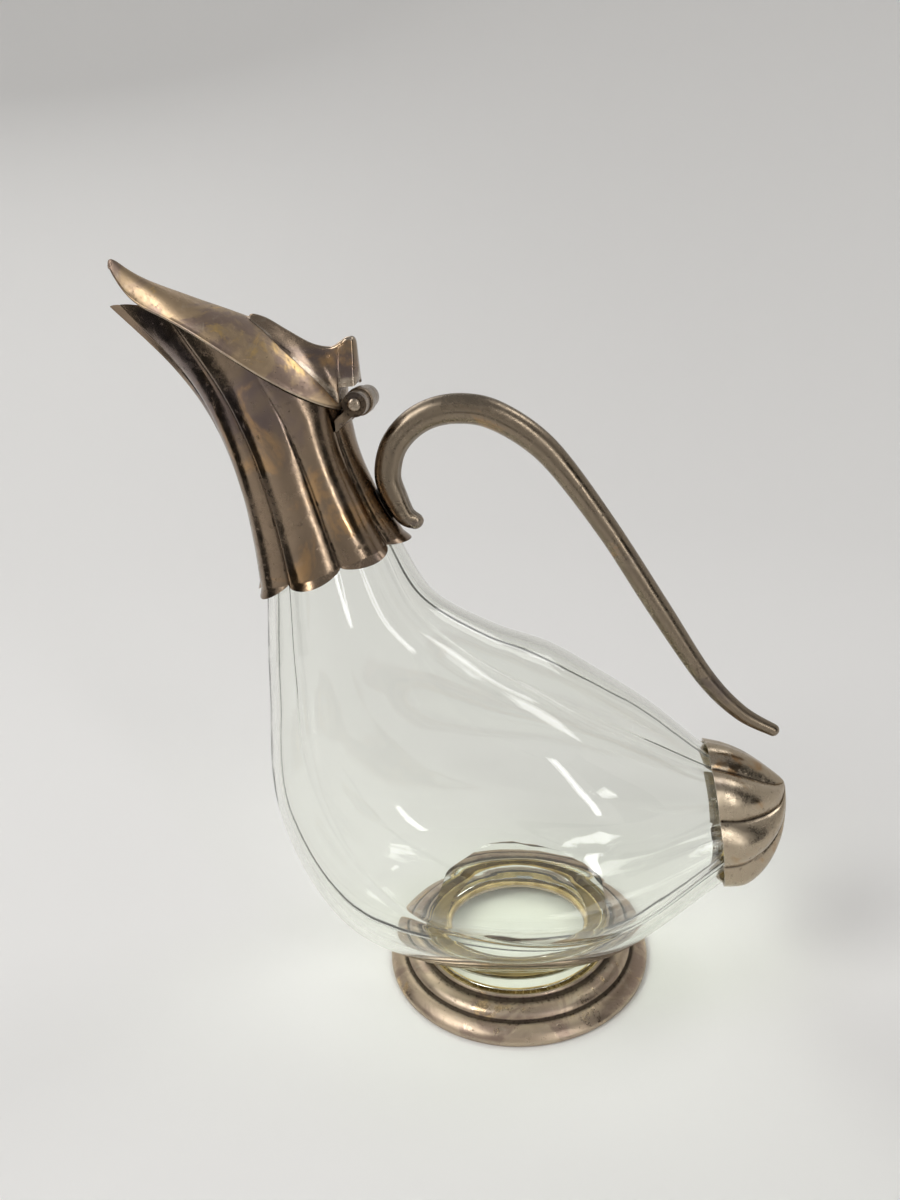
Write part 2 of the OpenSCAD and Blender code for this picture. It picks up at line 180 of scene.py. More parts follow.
def section(row: np.ndarray, t: np.ndarray) -> tuple[np.ndarray, np.ndarray]:
    """Points of a cross-section before its creases are pressed in, and how far each point can move.

    Args:
        row: The cross-section.
        t: Angles from the front point, in radians.

    Returns:
        The points, and for each point the vector that its crease follows.
    """
    centre = np.array([(row[0] + row[2]) / 2, 0.0, (row[1] + row[3]) / 2])
    half = np.array([(row[2] - row[0]) / 2, 0.0, (row[3] - row[1]) / 2])
    spoke = np.cos(t)[:, None] * half + (leaf(t, row[6]) * row[4])[:, None] * np.array([0.0, 1.0, 0.0])
    lift = MOUTH_LIFT * row[6] ** 2 * np.abs(np.sin(t)) ** 1.5 * (1 + np.cos(t)) / 2
    points = centre + spoke
    points[:, 2] += lift
    return points, spoke * row[5]


def ridge_point(row: np.ndarray, t: float) -> np.ndarray:
    """Return the point of a cross-section at one angle, with its crease."""
    angle = np.array([t])
    points, reach = section(row, angle)
    share = np.abs(np.cos(RIBS * angle / 2)) - MEAN_RIB
    return (points + reach * share[:, None])[0]


def middle_of_jug() -> float:
    """Return how far the centre of the foot lies behind the middle of the jug's length, in millimetres."""
    spout = ridge_point(NECK_ROWS[-1], 0)[0]
    angles = np.arange(48) * TURN / 48
    tail = max(ridge_point(row_at(CAP_ROWS, i / 3), a)[0] for i in range(19) for a in angles)
    return -(spout + tail) / 2


FOOT_X = middle_of_jug()


def glass_rows() -> np.ndarray:
    """Return the cross-sections of the glass, from its closed end in the tail cap to its neck end."""
    tail = [
        with_depth(grown(CAP_ROWS[3], -GLASS_IN - 8), 0),
        with_depth(grown(CAP_ROWS[2], -GLASS_IN - 2.6), RIB_DEPTH),
        with_depth(grown(CAP_ROWS[1], -GLASS_IN - 0.8), CAP_ROWS[0][5]),
        with_depth(grown(CAP_ROWS[0], -GLASS_IN), CAP_ROWS[0][5]),
    ]
    neck = [
        with_depth(grown(NECK_ROWS[0], -GLASS_IN - 0.7), RIB_DEPTH),
        with_depth(grown(NECK_ROWS[1], -GLASS_IN - 0.9), RIB_DEPTH),
        with_depth(grown(NECK_ROWS[2], -GLASS_IN - 1.2), RIB_DEPTH),
    ]
    return np.array(tail + list(BODY_ROWS) + neck)


class Tone(Enum):
    """The finishes that the jug's pieces are dressed in."""

    NECK = "neck silver"
    CAP = "cap silver"
    LID = "lid silver"
    FOOT = "foot silver"
    HANDLE = "handle silver"
    HINGE = "hinge silver"
    GLASS = "clear glass"
    CEMENT = "cement"


class Nodes:
    """Short ways to add and join nodes of one node tree."""

    def __init__(self, tree: bpy.types.NodeTree) -> None:
        """Keep the tree and clear it.

        Args:
            tree: The node tree to write to.
        """
        self.tree = tree
        tree.nodes.clear()

    def add(self, kind: str, **settings: object) -> bpy.types.Node:
        """Add a node.

        Args:
            kind: The node's type name.
            settings: Properties to set on it.

        Returns:
            The new node.
        """
        node = self.tree.nodes.new(kind)
        for name, value in settings.items():
            setattr(node, name, value)
        return node

    def join(self, source: bpy.types.NodeSocket, target: bpy.types.NodeSocket) -> None:
        """Join an output to an input."""
        self.tree.links.new(source, target)

    def fill(self, socket: bpy.types.NodeSocket, value: object) -> None:
        """Join an output to a socket, or set the socket to a number, vector or colour."""
        if isinstance(value, bpy.types.NodeSocket):
            self.join(value, socket)
        else:
            socket.default_value = value

    def math(self, operation: str, *values: object) -> bpy.types.NodeSocket:
        """Add a Math node.

        Args:
            operation: The operation's name.
            values: Numbers or outputs for its inputs.

        Returns:
            Its output.
        """
        node = self.add("ShaderNodeMath", operation=operation)
        for socket, value in zip(node.inputs, values):
            self.fill(socket, value)
        return node.outputs[0]

    def vector(self, operation: str, *values: object) -> bpy.types.Node:
        """Add a Vector Math node.

        Args:
            operation: The operation's name.
            values: Numbers, vectors or outputs for its inputs.

        Returns:
            The node.
        """
        node = self.add("ShaderNodeVectorMath", operation=operation)
        scaled = operation == "SCALE"
        sockets = [node.inputs[0], node.inputs["Scale"]] if scaled else list(node.inputs)
        for socket, value in zip(sockets, values):
            self.fill(socket, value)
        return node

    def noise(self, where: bpy.types.NodeSocket, scale: float, detail: float = 4, distortion: float = 0,
              roughness: float = 0.55) -> bpy.types.NodeSocket:
        """Add a Noise Texture.

        Args:
            where: Coordinates in metres.
            scale: Patches per metre.
            detail: Octaves of finer noise.
            distortion: How much the patches are warped.
            roughness: Share of the finer octaves.

        Returns:
            Its number output.
        """
        node = self.add("ShaderNodeTexNoise")
        self.join(where, node.inputs["Vector"])
        for name, number in zip(("Scale", "Detail", "Distortion", "Roughness"),
                                (scale, detail, distortion, roughness)):
            node.inputs[name].default_value = number
        return node.outputs[0]

    def span(self, value: bpy.types.NodeSocket, low: float, high: float, to_low: float = 0,
             to_high: float = 1) -> bpy.types.NodeSocket:
        """Map a number smoothly from one span to another.

        Args:
            value: The number.
            low: Start of its span.
            high: End of its span.
            to_low: Result at the start.
            to_high: Result at the end.

        Returns:
            The mapped number.
        """
        node = self.add("ShaderNodeMapRange", interpolation_type="SMOOTHSTEP")
        self.join(value, node.inputs["Value"])
        for name, number in zip(("From Min", "From Max", "To Min", "To Max"), (low, high, to_low, to_high)):
            node.inputs[name].default_value = number
        return node.outputs["Result"]

    def blend(self, share: object, first: object, second: object) -> bpy.types.NodeSocket:
        """Mix two colours.

        Args:
            share: Number or output, 0 for the first colour.
            first: Colour or output.
            second: Colour or output.

        Returns:
            The mixed colour.
        """
        node = self.add("ShaderNodeMix", data_type="RGBA")
        for socket, value in ((node.inputs[0], share), (node.inputs[6], first), (node.inputs[7], second)):
            self.fill(socket, (*value, 1) if isinstance(value, tuple) else value)
        return node.outputs[2]

    def bump(self, height: bpy.types.NodeSocket, strength: float, distance: float) -> bpy.types.NodeSocket:
        """Turn a height into fine relief.

        Args:
            height: The height's output.
            strength: Share of the relief that shows.
            distance: Size of the relief in metres.

        Returns:
            The relief's normal.
        """
        node = self.add("ShaderNodeBump")
        node.inputs["Strength"].default_value = strength
        node.inputs["Distance"].default_value = distance
        self.join(height, node.inputs["Height"])
        return node.outputs["Normal"]


def new_material(name: str) -> tuple[bpy.types.Material, Nodes, bpy.types.NodeSocket]:
    """Return a new material, its emptied node tree and its object coordinates."""
    mat = bpy.data.materials.new(name)
    mat.use_nodes = True
    n = Nodes(mat.node_tree)
    return mat, n, n.add("ShaderNodeTexCoord").outputs["Object"]


@dataclass(frozen=True)
class TarnishedSilver:
    """Worn silver plate under a bronze film, with golden and violet patches and dark hollows, whose smooth
    darkening is painted shade.
    """

    name: str
    bronze: Color = (0.24, 0.18, 0.125)
    golden: Color = (0.4, 0.25, 0.125)
    violet: Color = (0.15, 0.12, 0.105)
    worn: Color = (0.5, 0.42, 0.33)
    # dark: colour of the painted shade in the hollows, and of the pits and tarnish crust.
    dark: Color = (0.035, 0.025, 0.018)
    patches: float = 42
    gold: float = 0.5
    grey: float = 0.5
    bare: float = 0.25
    hollow_shade: float = 0.9
    smooth: float = 0.16
    rough: float = 0.42
    pits: float = 0.5

    def material(self) -> bpy.types.Material:
        """Return the finished material."""
        mat, n, where = new_material(self.name)
        wear_and_shade = n.add("ShaderNodeAttribute", attribute_name="wear_and_shade").outputs["Fac"]
        broad = n.noise(where, self.patches, 6, 0.8, 0.62)
        clouds = n.noise(where, self.patches * 0.6, 4, 1.2, 0.6)
        spots = n.noise(where, self.patches * 2.2, 6, 0.5, 0.7)
        fine = n.noise(where, self.patches * 10, 5, 0.3, 0.72)
        grey, gold, bare = 0.3 * self.grey, 0.3 * self.gold, 0.3 * self.bare
        base = n.blend(n.span(clouds, 0.7 - grey, 0.82 - grey), self.bronze, self.violet)
        base = n.blend(n.span(broad, 0.74 - gold, 0.86 - gold), base, self.golden)
        rubbed = n.math("MULTIPLY", n.span(spots, 0.68 - bare, 0.9 - bare), 0.75)
        base = n.blend(rubbed, base, self.worn)
        # Painted shade: hollows and creases are darkened smoothly towards the dark colour, as shade that
        # falls there.
        hollow_shade = n.span(wear_and_shade, 0.48, 0.1, 0, self.hollow_shade)
        specks = n.math("MULTIPLY", n.span(fine, 0.58, 0.68), n.span(spots, 0.56, 0.4, 0, self.pits))
        crust = n.math("MULTIPLY", n.span(wear_and_shade, 0.44, 0.22), n.span(fine, 0.5, 0.6))
        # This darkening joins the painted shade of the hollows with the real pits and tarnish crust.
        shade = n.math("MAXIMUM", n.math("MAXIMUM", hollow_shade, specks), crust)
        base = n.blend(shade, base, self.dark)
        edge = n.math("MULTIPLY", n.span(wear_and_shade, 0.56, 0.9), n.span(fine, 0.35, 0.6, 0.3, 0.85))
        base = n.blend(edge, base, self.worn)
        rough = n.span(broad, 0.7, 0.35, self.smooth, self.rough)
        rough = n.math("ADD", rough, n.math("MULTIPLY", shade, 0.25))
        rough = n.math("ADD", rough, n.span(fine, 0.35, 0.7, -0.03, 0.08))
        height = n.math("ADD", n.math("MULTIPLY", fine, 0.3), n.noise(where, 85, 2))
        height = n.math("SUBTRACT", height, n.math("MULTIPLY", specks, 0.6))
        shader = n.add("ShaderNodeBsdfPrincipled")
        shader.inputs["Metallic"].default_value = 1
        n.join(base, shader.inputs["Base Color"])
        n.join(rough, shader.inputs["Roughness"])
        n.join(n.bump(height, 0.5, 0.0003), shader.inputs["Normal"])
        n.join(shader.outputs[0], n.add("ShaderNodeOutputMaterial").inputs["Surface"])
        return mat


@dataclass(frozen=True)
class ClearGlass:
    """Old blown glass with a faint yellow-green tint in its thickness and fine waves on its surface."""

    name: str
    tint: Color = (0.86, 0.9, 0.68)
    depth: float = 22

    def material(self) -> bpy.types.Material:
        """Return the finished material."""
        mat, n, where = new_material(self.name)
        waves = n.noise(where, 30, 2, 0.3)
        smear = n.noise(where, 55, 5, 0.8, 0.65)
        shader = n.add("ShaderNodeBsdfPrincipled")
        shader.inputs["Base Color"].default_value = (0.985, 0.992, 0.98, 1)
        shader.inputs["Transmission Weight"].default_value = 1
        shader.inputs["IOR"].default_value = 1.48
        n.join(n.span(smear, 0.62, 0.8, 0.0, 0.06), shader.inputs["Roughness"])
        n.join(n.bump(waves, 0.2, 0.001), shader.inputs["Normal"])
        clear = n.add("ShaderNodeBsdfTransparent")
        clear.inputs["Color"].default_value = (0.93, 0.95, 0.92, 1)
        mix = n.add("ShaderNodeMixShader")
        n.join(n.add("ShaderNodeLightPath").outputs["Is Shadow Ray"], mix.inputs[0])
        n.join(shader.outputs[0], mix.inputs[1])
        n.join(clear.outputs[0], mix.inputs[2])
        inside = n.add("ShaderNodeVolumeAbsorption")
        inside.inputs["Color"].default_value = (*self.tint, 1)
        inside.inputs["Density"].default_value = self.depth
        out = n.add("ShaderNodeOutputMaterial")
        n.join(mix.outputs[0], out.inputs["Surface"])
        n.join(inside.outputs[0], out.inputs["Volume"])
        return mat


@dataclass(frozen=True)
class Plaster:
    """Yellowed cement, grainy and matt."""

    name: str
    pale: Color = (0.64, 0.47, 0.22)
    stained: Color = (0.38, 0.25, 0.09)

    def material(self) -> bpy.types.Material:
        """Return the finished material."""
        mat, n, where = new_material(self.name)
        patches = n.noise(where, 120, 6, 0.5)
        grain = n.noise(where, 1500, 3)
        shader = n.add("ShaderNodeBsdfPrincipled")
        n.join(n.blend(n.span(patches, 0.4, 0.65), self.pale, self.stained), shader.inputs["Base Color"])
        n.join(n.span(grain, 0.3, 0.7, 0.55, 0.85), shader.inputs["Roughness"])
        n.join(n.bump(grain, 0.4, 0.0004), shader.inputs["Normal"])
        n.join(shader.outputs[0], n.add("ShaderNodeOutputMaterial").inputs["Surface"])
        return mat


class Finishes:
    """The jug's materials, made once each."""

    def __init__(self) -> None:
        """Make every finish."""
        looks = {
            Tone.NECK: TarnishedSilver(
                "tarnished_neck", bronze=(0.27, 0.2, 0.14), golden=(0.46, 0.29, 0.15),
                violet=(0.19, 0.145, 0.13), patches=34, gold=0.62, grey=0.5, bare=0.2, hollow_shade=0.6,
                smooth=0.12, rough=0.28),
            Tone.CAP: TarnishedSilver(
                "tarnished_cap", bronze=(0.46, 0.38, 0.28), violet=(0.32, 0.26, 0.2),
                patches=60, gold=0.6, grey=0.45, bare=0.4, smooth=0.17, rough=0.32),
            Tone.LID: TarnishedSilver(
                "tarnished_lid", bronze=(0.46, 0.335, 0.21), golden=(0.66, 0.45, 0.2),
                violet=(0.31, 0.225, 0.175), worn=(0.62, 0.52, 0.4), patches=80, gold=0.7, grey=0.75,
                bare=0.35, pits=0.6, smooth=0.3, rough=0.44),
            Tone.FOOT: TarnishedSilver(
                "tarnished_foot", bronze=(0.52, 0.41, 0.3), violet=(0.36, 0.27, 0.21),
                golden=(0.66, 0.48, 0.28), patches=95, gold=0.6, grey=0.75, bare=0.5, pits=0.8,
                smooth=0.22, rough=0.42),
            Tone.HANDLE: TarnishedSilver(
                "tarnished_handle", bronze=(0.25, 0.2, 0.145), violet=(0.18, 0.145, 0.12),
                patches=45, gold=0.5, grey=0.55, bare=0.25, smooth=0.18, rough=0.34),
            Tone.HINGE: TarnishedSilver(
                "tarnished_hinge", patches=110, gold=0.5, grey=0.6, bare=0.4, smooth=0.2, rough=0.36),
            Tone.GLASS: ClearGlass("clear_glass"),
            Tone.CEMENT: Plaster("yellowed_cement"),
        }
        self.made = {tone: look.material() for tone, look in looks.items()}

    def get(self, tone: Tone) -> bpy.types.Material:
        """Return one finish."""
        return self.made[tone]


def declare(obj: bpy.types.Object, body: str, node: str) -> None:
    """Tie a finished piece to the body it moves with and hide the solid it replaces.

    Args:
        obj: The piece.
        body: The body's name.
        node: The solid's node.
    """
    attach(obj, body)
    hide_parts(node)
    LOG.info("%s: %d faces", obj.name, len(obj.data.polygons))


@contextmanager
def edited(data: bpy.types.Mesh) -> Iterator[bmesh.types.BMesh]:
    """Open a mesh for editing and write it back afterwards."""
    work = bmesh.new()
    work.from_mesh(data)
    yield work
    work.to_mesh(data)
    work.free()


class Shapes:
    """Ways to turn points into finished mesh objects, with millimetres from the foot's centre as input."""

    @staticmethod
    def place(points: np.ndarray) -> np.ndarray:
        """Return points in metres in the jug's frame, from millimetres from the foot's centre."""
        out = np.array(points, dtype=float)
        out[:, 0] += FOOT_X
        return out * MM

    @staticmethod
    def mesh(name: str, points: np.ndarray, faces: list[tuple[int, ...]]) -> bpy.types.Object:
        """Make an object from points in metres.

        Args:
            name: Name of the piece.
            points: Its vertices.
            faces: Its faces as vertex numbers.

        Returns:
            The object, linked to the scene.
        """
        data = bpy.data.meshes.new(name)
        data.from_pydata([tuple(p) for p in points], [], faces)
        data.update()
        obj = bpy.data.objects.new(name, data)
        bpy.context.scene.collection.objects.link(obj)
        return obj

    @staticmethod
    def grid_faces(rings: int, around: int, loop: bool) -> list[tuple[int, ...]]:
        """Faces between rings of equal length.

        Args:
            rings: Number of rings.
            around: Points in each ring.
            loop: True where the last ring joins the first.

        Returns:
            Four-sided faces.
        """
        faces = []
        for i in range(rings if loop else rings - 1):
            up = (i + 1) % rings
            for j in range(around):
                k = (j + 1) % around
                faces.append((i * around + j, i * around + k, up * around + k, up * around + j))
        return faces

    @staticmethod
    def poles(points: list[np.ndarray], faces: list[tuple[int, ...]], count: int, around: int) -> None:
        """Close both ends of a row of rings with a pole.

        Args:
            points: The rings' points, which the poles are added to.
            faces: The faces, which the ends' faces are added to.
            count: Number of rings.
            around: Points in each ring.
        """
        for start, turned in ((0, True), ((count - 1) * around, False)):
            pole = len(points)
            points.append(np.array(points[start:start + around]).mean(axis=0))
            for j in range(around):
                a, b = start + j, start + (j + 1) % around
                faces.append((b, a, pole) if turned else (a, b, pole))

    @classmethod
    def loft(cls, name: str, rings: list[np.ndarray]) -> bpy.types.Object:
        """Skin a piece through rings, with a pole at each end.

        Args:
            name: Name of the piece.
            rings: Rings of points in millimetres.

        Returns:
            The piece.
        """
        around = len(rings[0])
        points = list(np.concatenate(rings))
        faces = cls.grid_faces(len(rings), around, False)
        cls.poles(points, faces, len(rings), around)
        obj = cls.mesh(name, cls.place(np.array(points)), faces)
        cls.tidy(obj)
        return obj

    @staticmethod
    def turn(profile: list[Point], steps: int, closed: bool) -> tuple[np.ndarray, list[tuple[int, ...]]]:
        """Turn a profile about the upright axis.

        Args:
            profile: Distance from the axis and height.
            steps: Copies of the profile round the axis.
            closed: True where the profile's end joins its start.

        Returns:
            The points and the faces.
        """
        points, faces, count = [], [], len(profile)
        for i in range(steps):
            c, s = math.cos(TURN * i / steps), math.sin(TURN * i / steps)
            points += [(r * c, r * s, h) for r, h in profile]
            up = (i + 1) % steps
            for j in range(count if closed else count - 1):
                k = (j + 1) % count
                faces.append((i * count + j, up * count + j, up * count + k, i * count + k))
        return np.array(points), faces

    @classmethod
    def lathe(cls, name: str, profile: list[Point], centre: tuple[float, float, float], axis: str,
              steps: int = 128, closed: bool = True) -> bpy.types.Object:
        """Turn a profile about an axis.

        Args:
            name: Name of the piece.
            profile: Distance from the axis and place along it.
            centre: Where the axis starts, in millimetres from the foot's centre.
            axis: "Z" or "Y".
            steps: Points round the piece.
            closed: True where the profile's end joins its start.

        Returns:
            The piece.
        """
        points, faces = cls.turn(profile, steps, closed)
        if axis == "Y":
            points = points[:, [0, 2, 1]]
        obj = cls.mesh(name, cls.place(points + np.array(centre)), faces)
        cls.tidy(obj)
        return obj

    @staticmethod
    def tidy(obj: bpy.types.Object, sharp: float = 40) -> None:
        """Merge doubled points, turn faces outwards and shade the piece smooth between its sharp edges.

        Args:
            obj: The piece.
            sharp: Angle in degrees above which an edge stays sharp.
        """
        with edited(obj.data) as work:
            bmesh.ops.remove_doubles(work, verts=work.verts, dist=1e-6)
            bmesh.ops.dissolve_degenerate(work, dist=1e-7, edges=work.edges)
            bmesh.ops.recalc_face_normals(work, faces=work.faces)
        for face in obj.data.polygons:
            face.use_smooth = True
        obj.data.set_sharp_from_angle(angle=math.radians(sharp))
        obj.data.update()

    @staticmethod
    def bake(obj: bpy.types.Object) -> None:
        """Turn a piece and its modifiers into a plain mesh with no modifiers."""
        bpy.context.view_layer.update()
        seen = obj.evaluated_get(bpy.context.evaluated_depsgraph_get())
        data = bpy.data.meshes.new_from_object(seen)
        obj.modifiers.clear()
        old = obj.data
        obj.data = data
        data.name = obj.name
        bpy.data.meshes.remove(old)

    @classmethod
    def soften(cls, obj: bpy.types.Object, width: float, segments: int, angle: float) -> None:
        """Round a piece's sharp edges.

        Args:
            obj: The piece.
            width: Width of the rounding in metres.
            segments: Faces across the rounding.
            angle: Angle in degrees above which an edge is rounded.
        """
        bevel = obj.modifiers.new("soft_edges", "BEVEL")
        bevel.width = width
        bevel.segments = segments
        bevel.limit_method = "ANGLE"
        bevel.angle_limit = math.radians(angle)
        cls.bake(obj)

    @classmethod
    def run_nodes(cls, obj: bpy.types.Object, tree: bpy.types.NodeTree, values: dict[str, object]) -> None:
        """Run a geometry node tree on a piece and make it a plain mesh.

        Args:
            obj: The piece.
            tree: The node tree.
            values: What its named inputs are set to.
        """
        step = obj.modifiers.new("nodes", "NODES")
        step.node_group = tree
        sockets = {s.name: s.identifier for s in tree.interface.items_tree if s.in_out == "INPUT"}
        for name, value in values.items():
            step[sockets[name]] = value
        cls.bake(obj)

    @staticmethod
    def store(data: bpy.types.Mesh, name: str, values: np.ndarray) -> None:
        """Store a number or a vector for each point of a mesh."""
        vector = np.ndim(values) > 1
        layer = data.attributes.new(name, "FLOAT_VECTOR" if vector else "FLOAT", "POINT")
        layer.data.foreach_set("vector" if vector else "value", np.asarray(values, dtype=np.float32).ravel())

    @classmethod
    def mark_wear_and_shade(cls, obj: bpy.types.Object, reach: float, spans: int = 10, rounds: int = 3) -> None:
        """Store how far each point stands out: 0 in a hollow, 0.5 where flat and 1 on an edge; the materials
        wear the edges and paint shade into the hollows.

        Args:
            obj: The piece.
            reach: Height in metres that counts as fully worn, and depth that counts as fully shaded.
            spans: How many steps of the mesh the surroundings reach, squared.
            rounds: How often the result is evened out.
        """
        data = obj.data
        count = len(data.vertices)
        points = np.empty(count * 3)
        data.vertices.foreach_get("co", points)
        points = points.reshape(-1, 3)
        normals = np.empty(count * 3)
        data.vertices.foreach_get("normal", normals)
        normals = normals.reshape(-1, 3)
        edges = np.empty(len(data.edges) * 2, dtype=int)
        data.edges.foreach_get("vertices", edges)
        edges = edges.reshape(-1, 2)
        degree = np.bincount(edges.ravel(), minlength=count)[:, None].clip(1)

        def spread(values: np.ndarray) -> np.ndarray:
            """Return for each point the mean of its neighbours."""
            total = np.zeros_like(values)
            np.add.at(total, edges[:, 0], values[edges[:, 1]])
            np.add.at(total, edges[:, 1], values[edges[:, 0]])
            return total / degree

        smooth = points
        for _ in range(spans):
            smooth = 0.5 * smooth + 0.5 * spread(smooth)
        height = ((points - smooth) * normals).sum(axis=1, keepdims=True)
        for _ in range(rounds):
            height = 0.5 * height + 0.5 * spread(height)
        height -= np.median(height)
        cls.store(data, "wear_and_shade", np.clip(0.5 + 0.5 * height[:, 0] / reach, 0, 1))


class Flutes:
    """Geometry nodes that press the ribs of the glass and the flutes of the metal into a plain shell."""

    NAME = "press_flutes"
    FULL_REACH = 0.0005
    GROOVE_WIDTH = 0.12

    def __init__(self) -> None:
        """Build the node tree."""
        tree = bpy.data.node_groups.new(self.NAME, "GeometryNodeTree")
        face = tree.interface
        face.new_socket("Shell", in_out="INPUT", socket_type="NodeSocketGeometry")
        for name, value in (("Ribs", float(RIBS)), ("Mean Rib", MEAN_RIB), ("Rounding", 0.1),
                            ("Groove", 0.0), ("Groove Width", self.GROOVE_WIDTH)):
            socket = face.new_socket(name, in_out="INPUT", socket_type="NodeSocketFloat")
            socket.default_value = value
        face.new_socket("Finish", in_out="INPUT", socket_type="NodeSocketMaterial")
        face.new_socket("Fluted", in_out="OUTPUT", socket_type="NodeSocketGeometry")
        n = Nodes(tree)
        start = n.add("NodeGroupInput")
        angle = n.add("GeometryNodeInputNamedAttribute", data_type="FLOAT")
        angle.inputs["Name"].default_value = "angle"
        reach = n.add("GeometryNodeInputNamedAttribute", data_type="FLOAT_VECTOR")
        reach.inputs["Name"].default_value = "reach"
        turn = n.math("MULTIPLY", n.math("MULTIPLY", angle.outputs[0], start.outputs["Ribs"]), 0.5)
        wave = n.math("COSINE", turn)
        soft = n.math("MULTIPLY", start.outputs["Rounding"], start.outputs["Rounding"])
        height = n.math("SQRT", n.math("ADD", n.math("MULTIPLY", wave, wave), soft))
        share = n.math("SUBTRACT", height, start.outputs["Mean Rib"])
        rib = n.vector("SCALE", reach.outputs[0], share)
        spot = n.math("DIVIDE", wave, start.outputs["Groove Width"])
        line = n.math("EXPONENT", n.math("MULTIPLY", n.math("MULTIPLY", spot, spot), -1))
        size = n.vector("LENGTH", reach.outputs[0]).outputs["Value"]
        fade = n.math("MINIMUM", n.math("DIVIDE", size, self.FULL_REACH), 1)
        deep = n.math("MULTIPLY", n.math("MULTIPLY", line, fade), start.outputs["Groove"])
        along = n.vector("NORMALIZE", reach.outputs[0])
        groove = n.vector("SCALE", along.outputs[0], n.math("MULTIPLY", deep, -1))
        move = n.vector("ADD", rib.outputs[0], groove.outputs[0])
        shift = n.add("GeometryNodeSetPosition")
        n.join(start.outputs["Shell"], shift.inputs["Geometry"])
        n.join(move.outputs[0], shift.inputs["Offset"])
        real = n.add("GeometryNodeRealizeInstances")
        n.join(shift.outputs[0], real.inputs[0])
        dress = n.add("GeometryNodeSetMaterial")
        n.join(real.outputs[0], dress.inputs["Geometry"])
        n.join(start.outputs["Finish"], dress.inputs["Material"])
        n.join(dress.outputs[0], n.add("NodeGroupOutput").inputs[0])
        self.tree = tree

    def press(self, obj: bpy.types.Object, finish: bpy.types.Material, rounding: float,
              groove: float = 0.0) -> None:
        """Press the flutes into a shell and make it a plain mesh.

        Args:
            obj: A shell with the attributes angle and reach.
            finish: Its material.
            rounding: How much the bottoms of the creases are rounded.
            groove: Depth in metres of a narrow groove along each crease.
        """
        Shapes.run_nodes(obj, self.tree, {
            "Ribs": float(RIBS), "Mean Rib": MEAN_RIB, "Rounding": rounding, "Groove": groove,
            "Groove Width": self.GROOVE_WIDTH, "Finish": finish})


class Shell:
    """A plain shell of rings that carries what the flutes need."""

    def __init__(self, name: str, around: int) -> None:
        """Start an empty shell.

        Args:
            name: Name of the piece.
            around: Points in each ring.
        """
        self.name = name
        self.t = np.arange(around) * TURN / around
        self.rings: list[np.ndarray] = []
        self.reach: list[np.ndarray] = []

    def add(self, row: np.ndarray) -> None:
        """Add the ring of one cross-section."""
        points, reach = section(row, self.t)
        self.rings.append(points)
        self.reach.append(reach)

    def sweep(self, rows: np.ndarray, start: float, end: float, steps: int, by: float) -> None:
        """Add rings from one place of a list of rows to another.

        Args:
            rows: The cross-sections.
            start: First place.
            end: Last place.
            steps: Number of steps.
            by: How far the rings are moved outwards, in millimetres.
        """
        for i in range(steps + 1):
            self.add(grown(row_at(rows, start + (end - start) * i / steps), by))

    def finish(self, loop: bool) -> bpy.types.Object:
        """Make the shell's object with its attributes.

        Args:
            loop: True where the last ring joins the first.

        Returns:
            The shell.
        """
        around = len(self.t)
        points = list(np.concatenate(self.rings))
        reach = list(np.concatenate(self.reach))
        angle = list(np.tile(self.t, len(self.rings)))
        faces = Shapes.grid_faces(len(self.rings), around, loop)
        if not loop:
            Shapes.poles(points, faces, len(self.rings), around)
            reach += [np.zeros(3)] * 2
            angle += [0.0] * 2
        obj = Shapes.mesh(self.name, Shapes.place(np.array(points)), faces)
        Shapes.store(obj.data, "angle", np.array(angle))
        Shapes.store(obj.data, "reach", np.array(reach) * MM)
        return obj


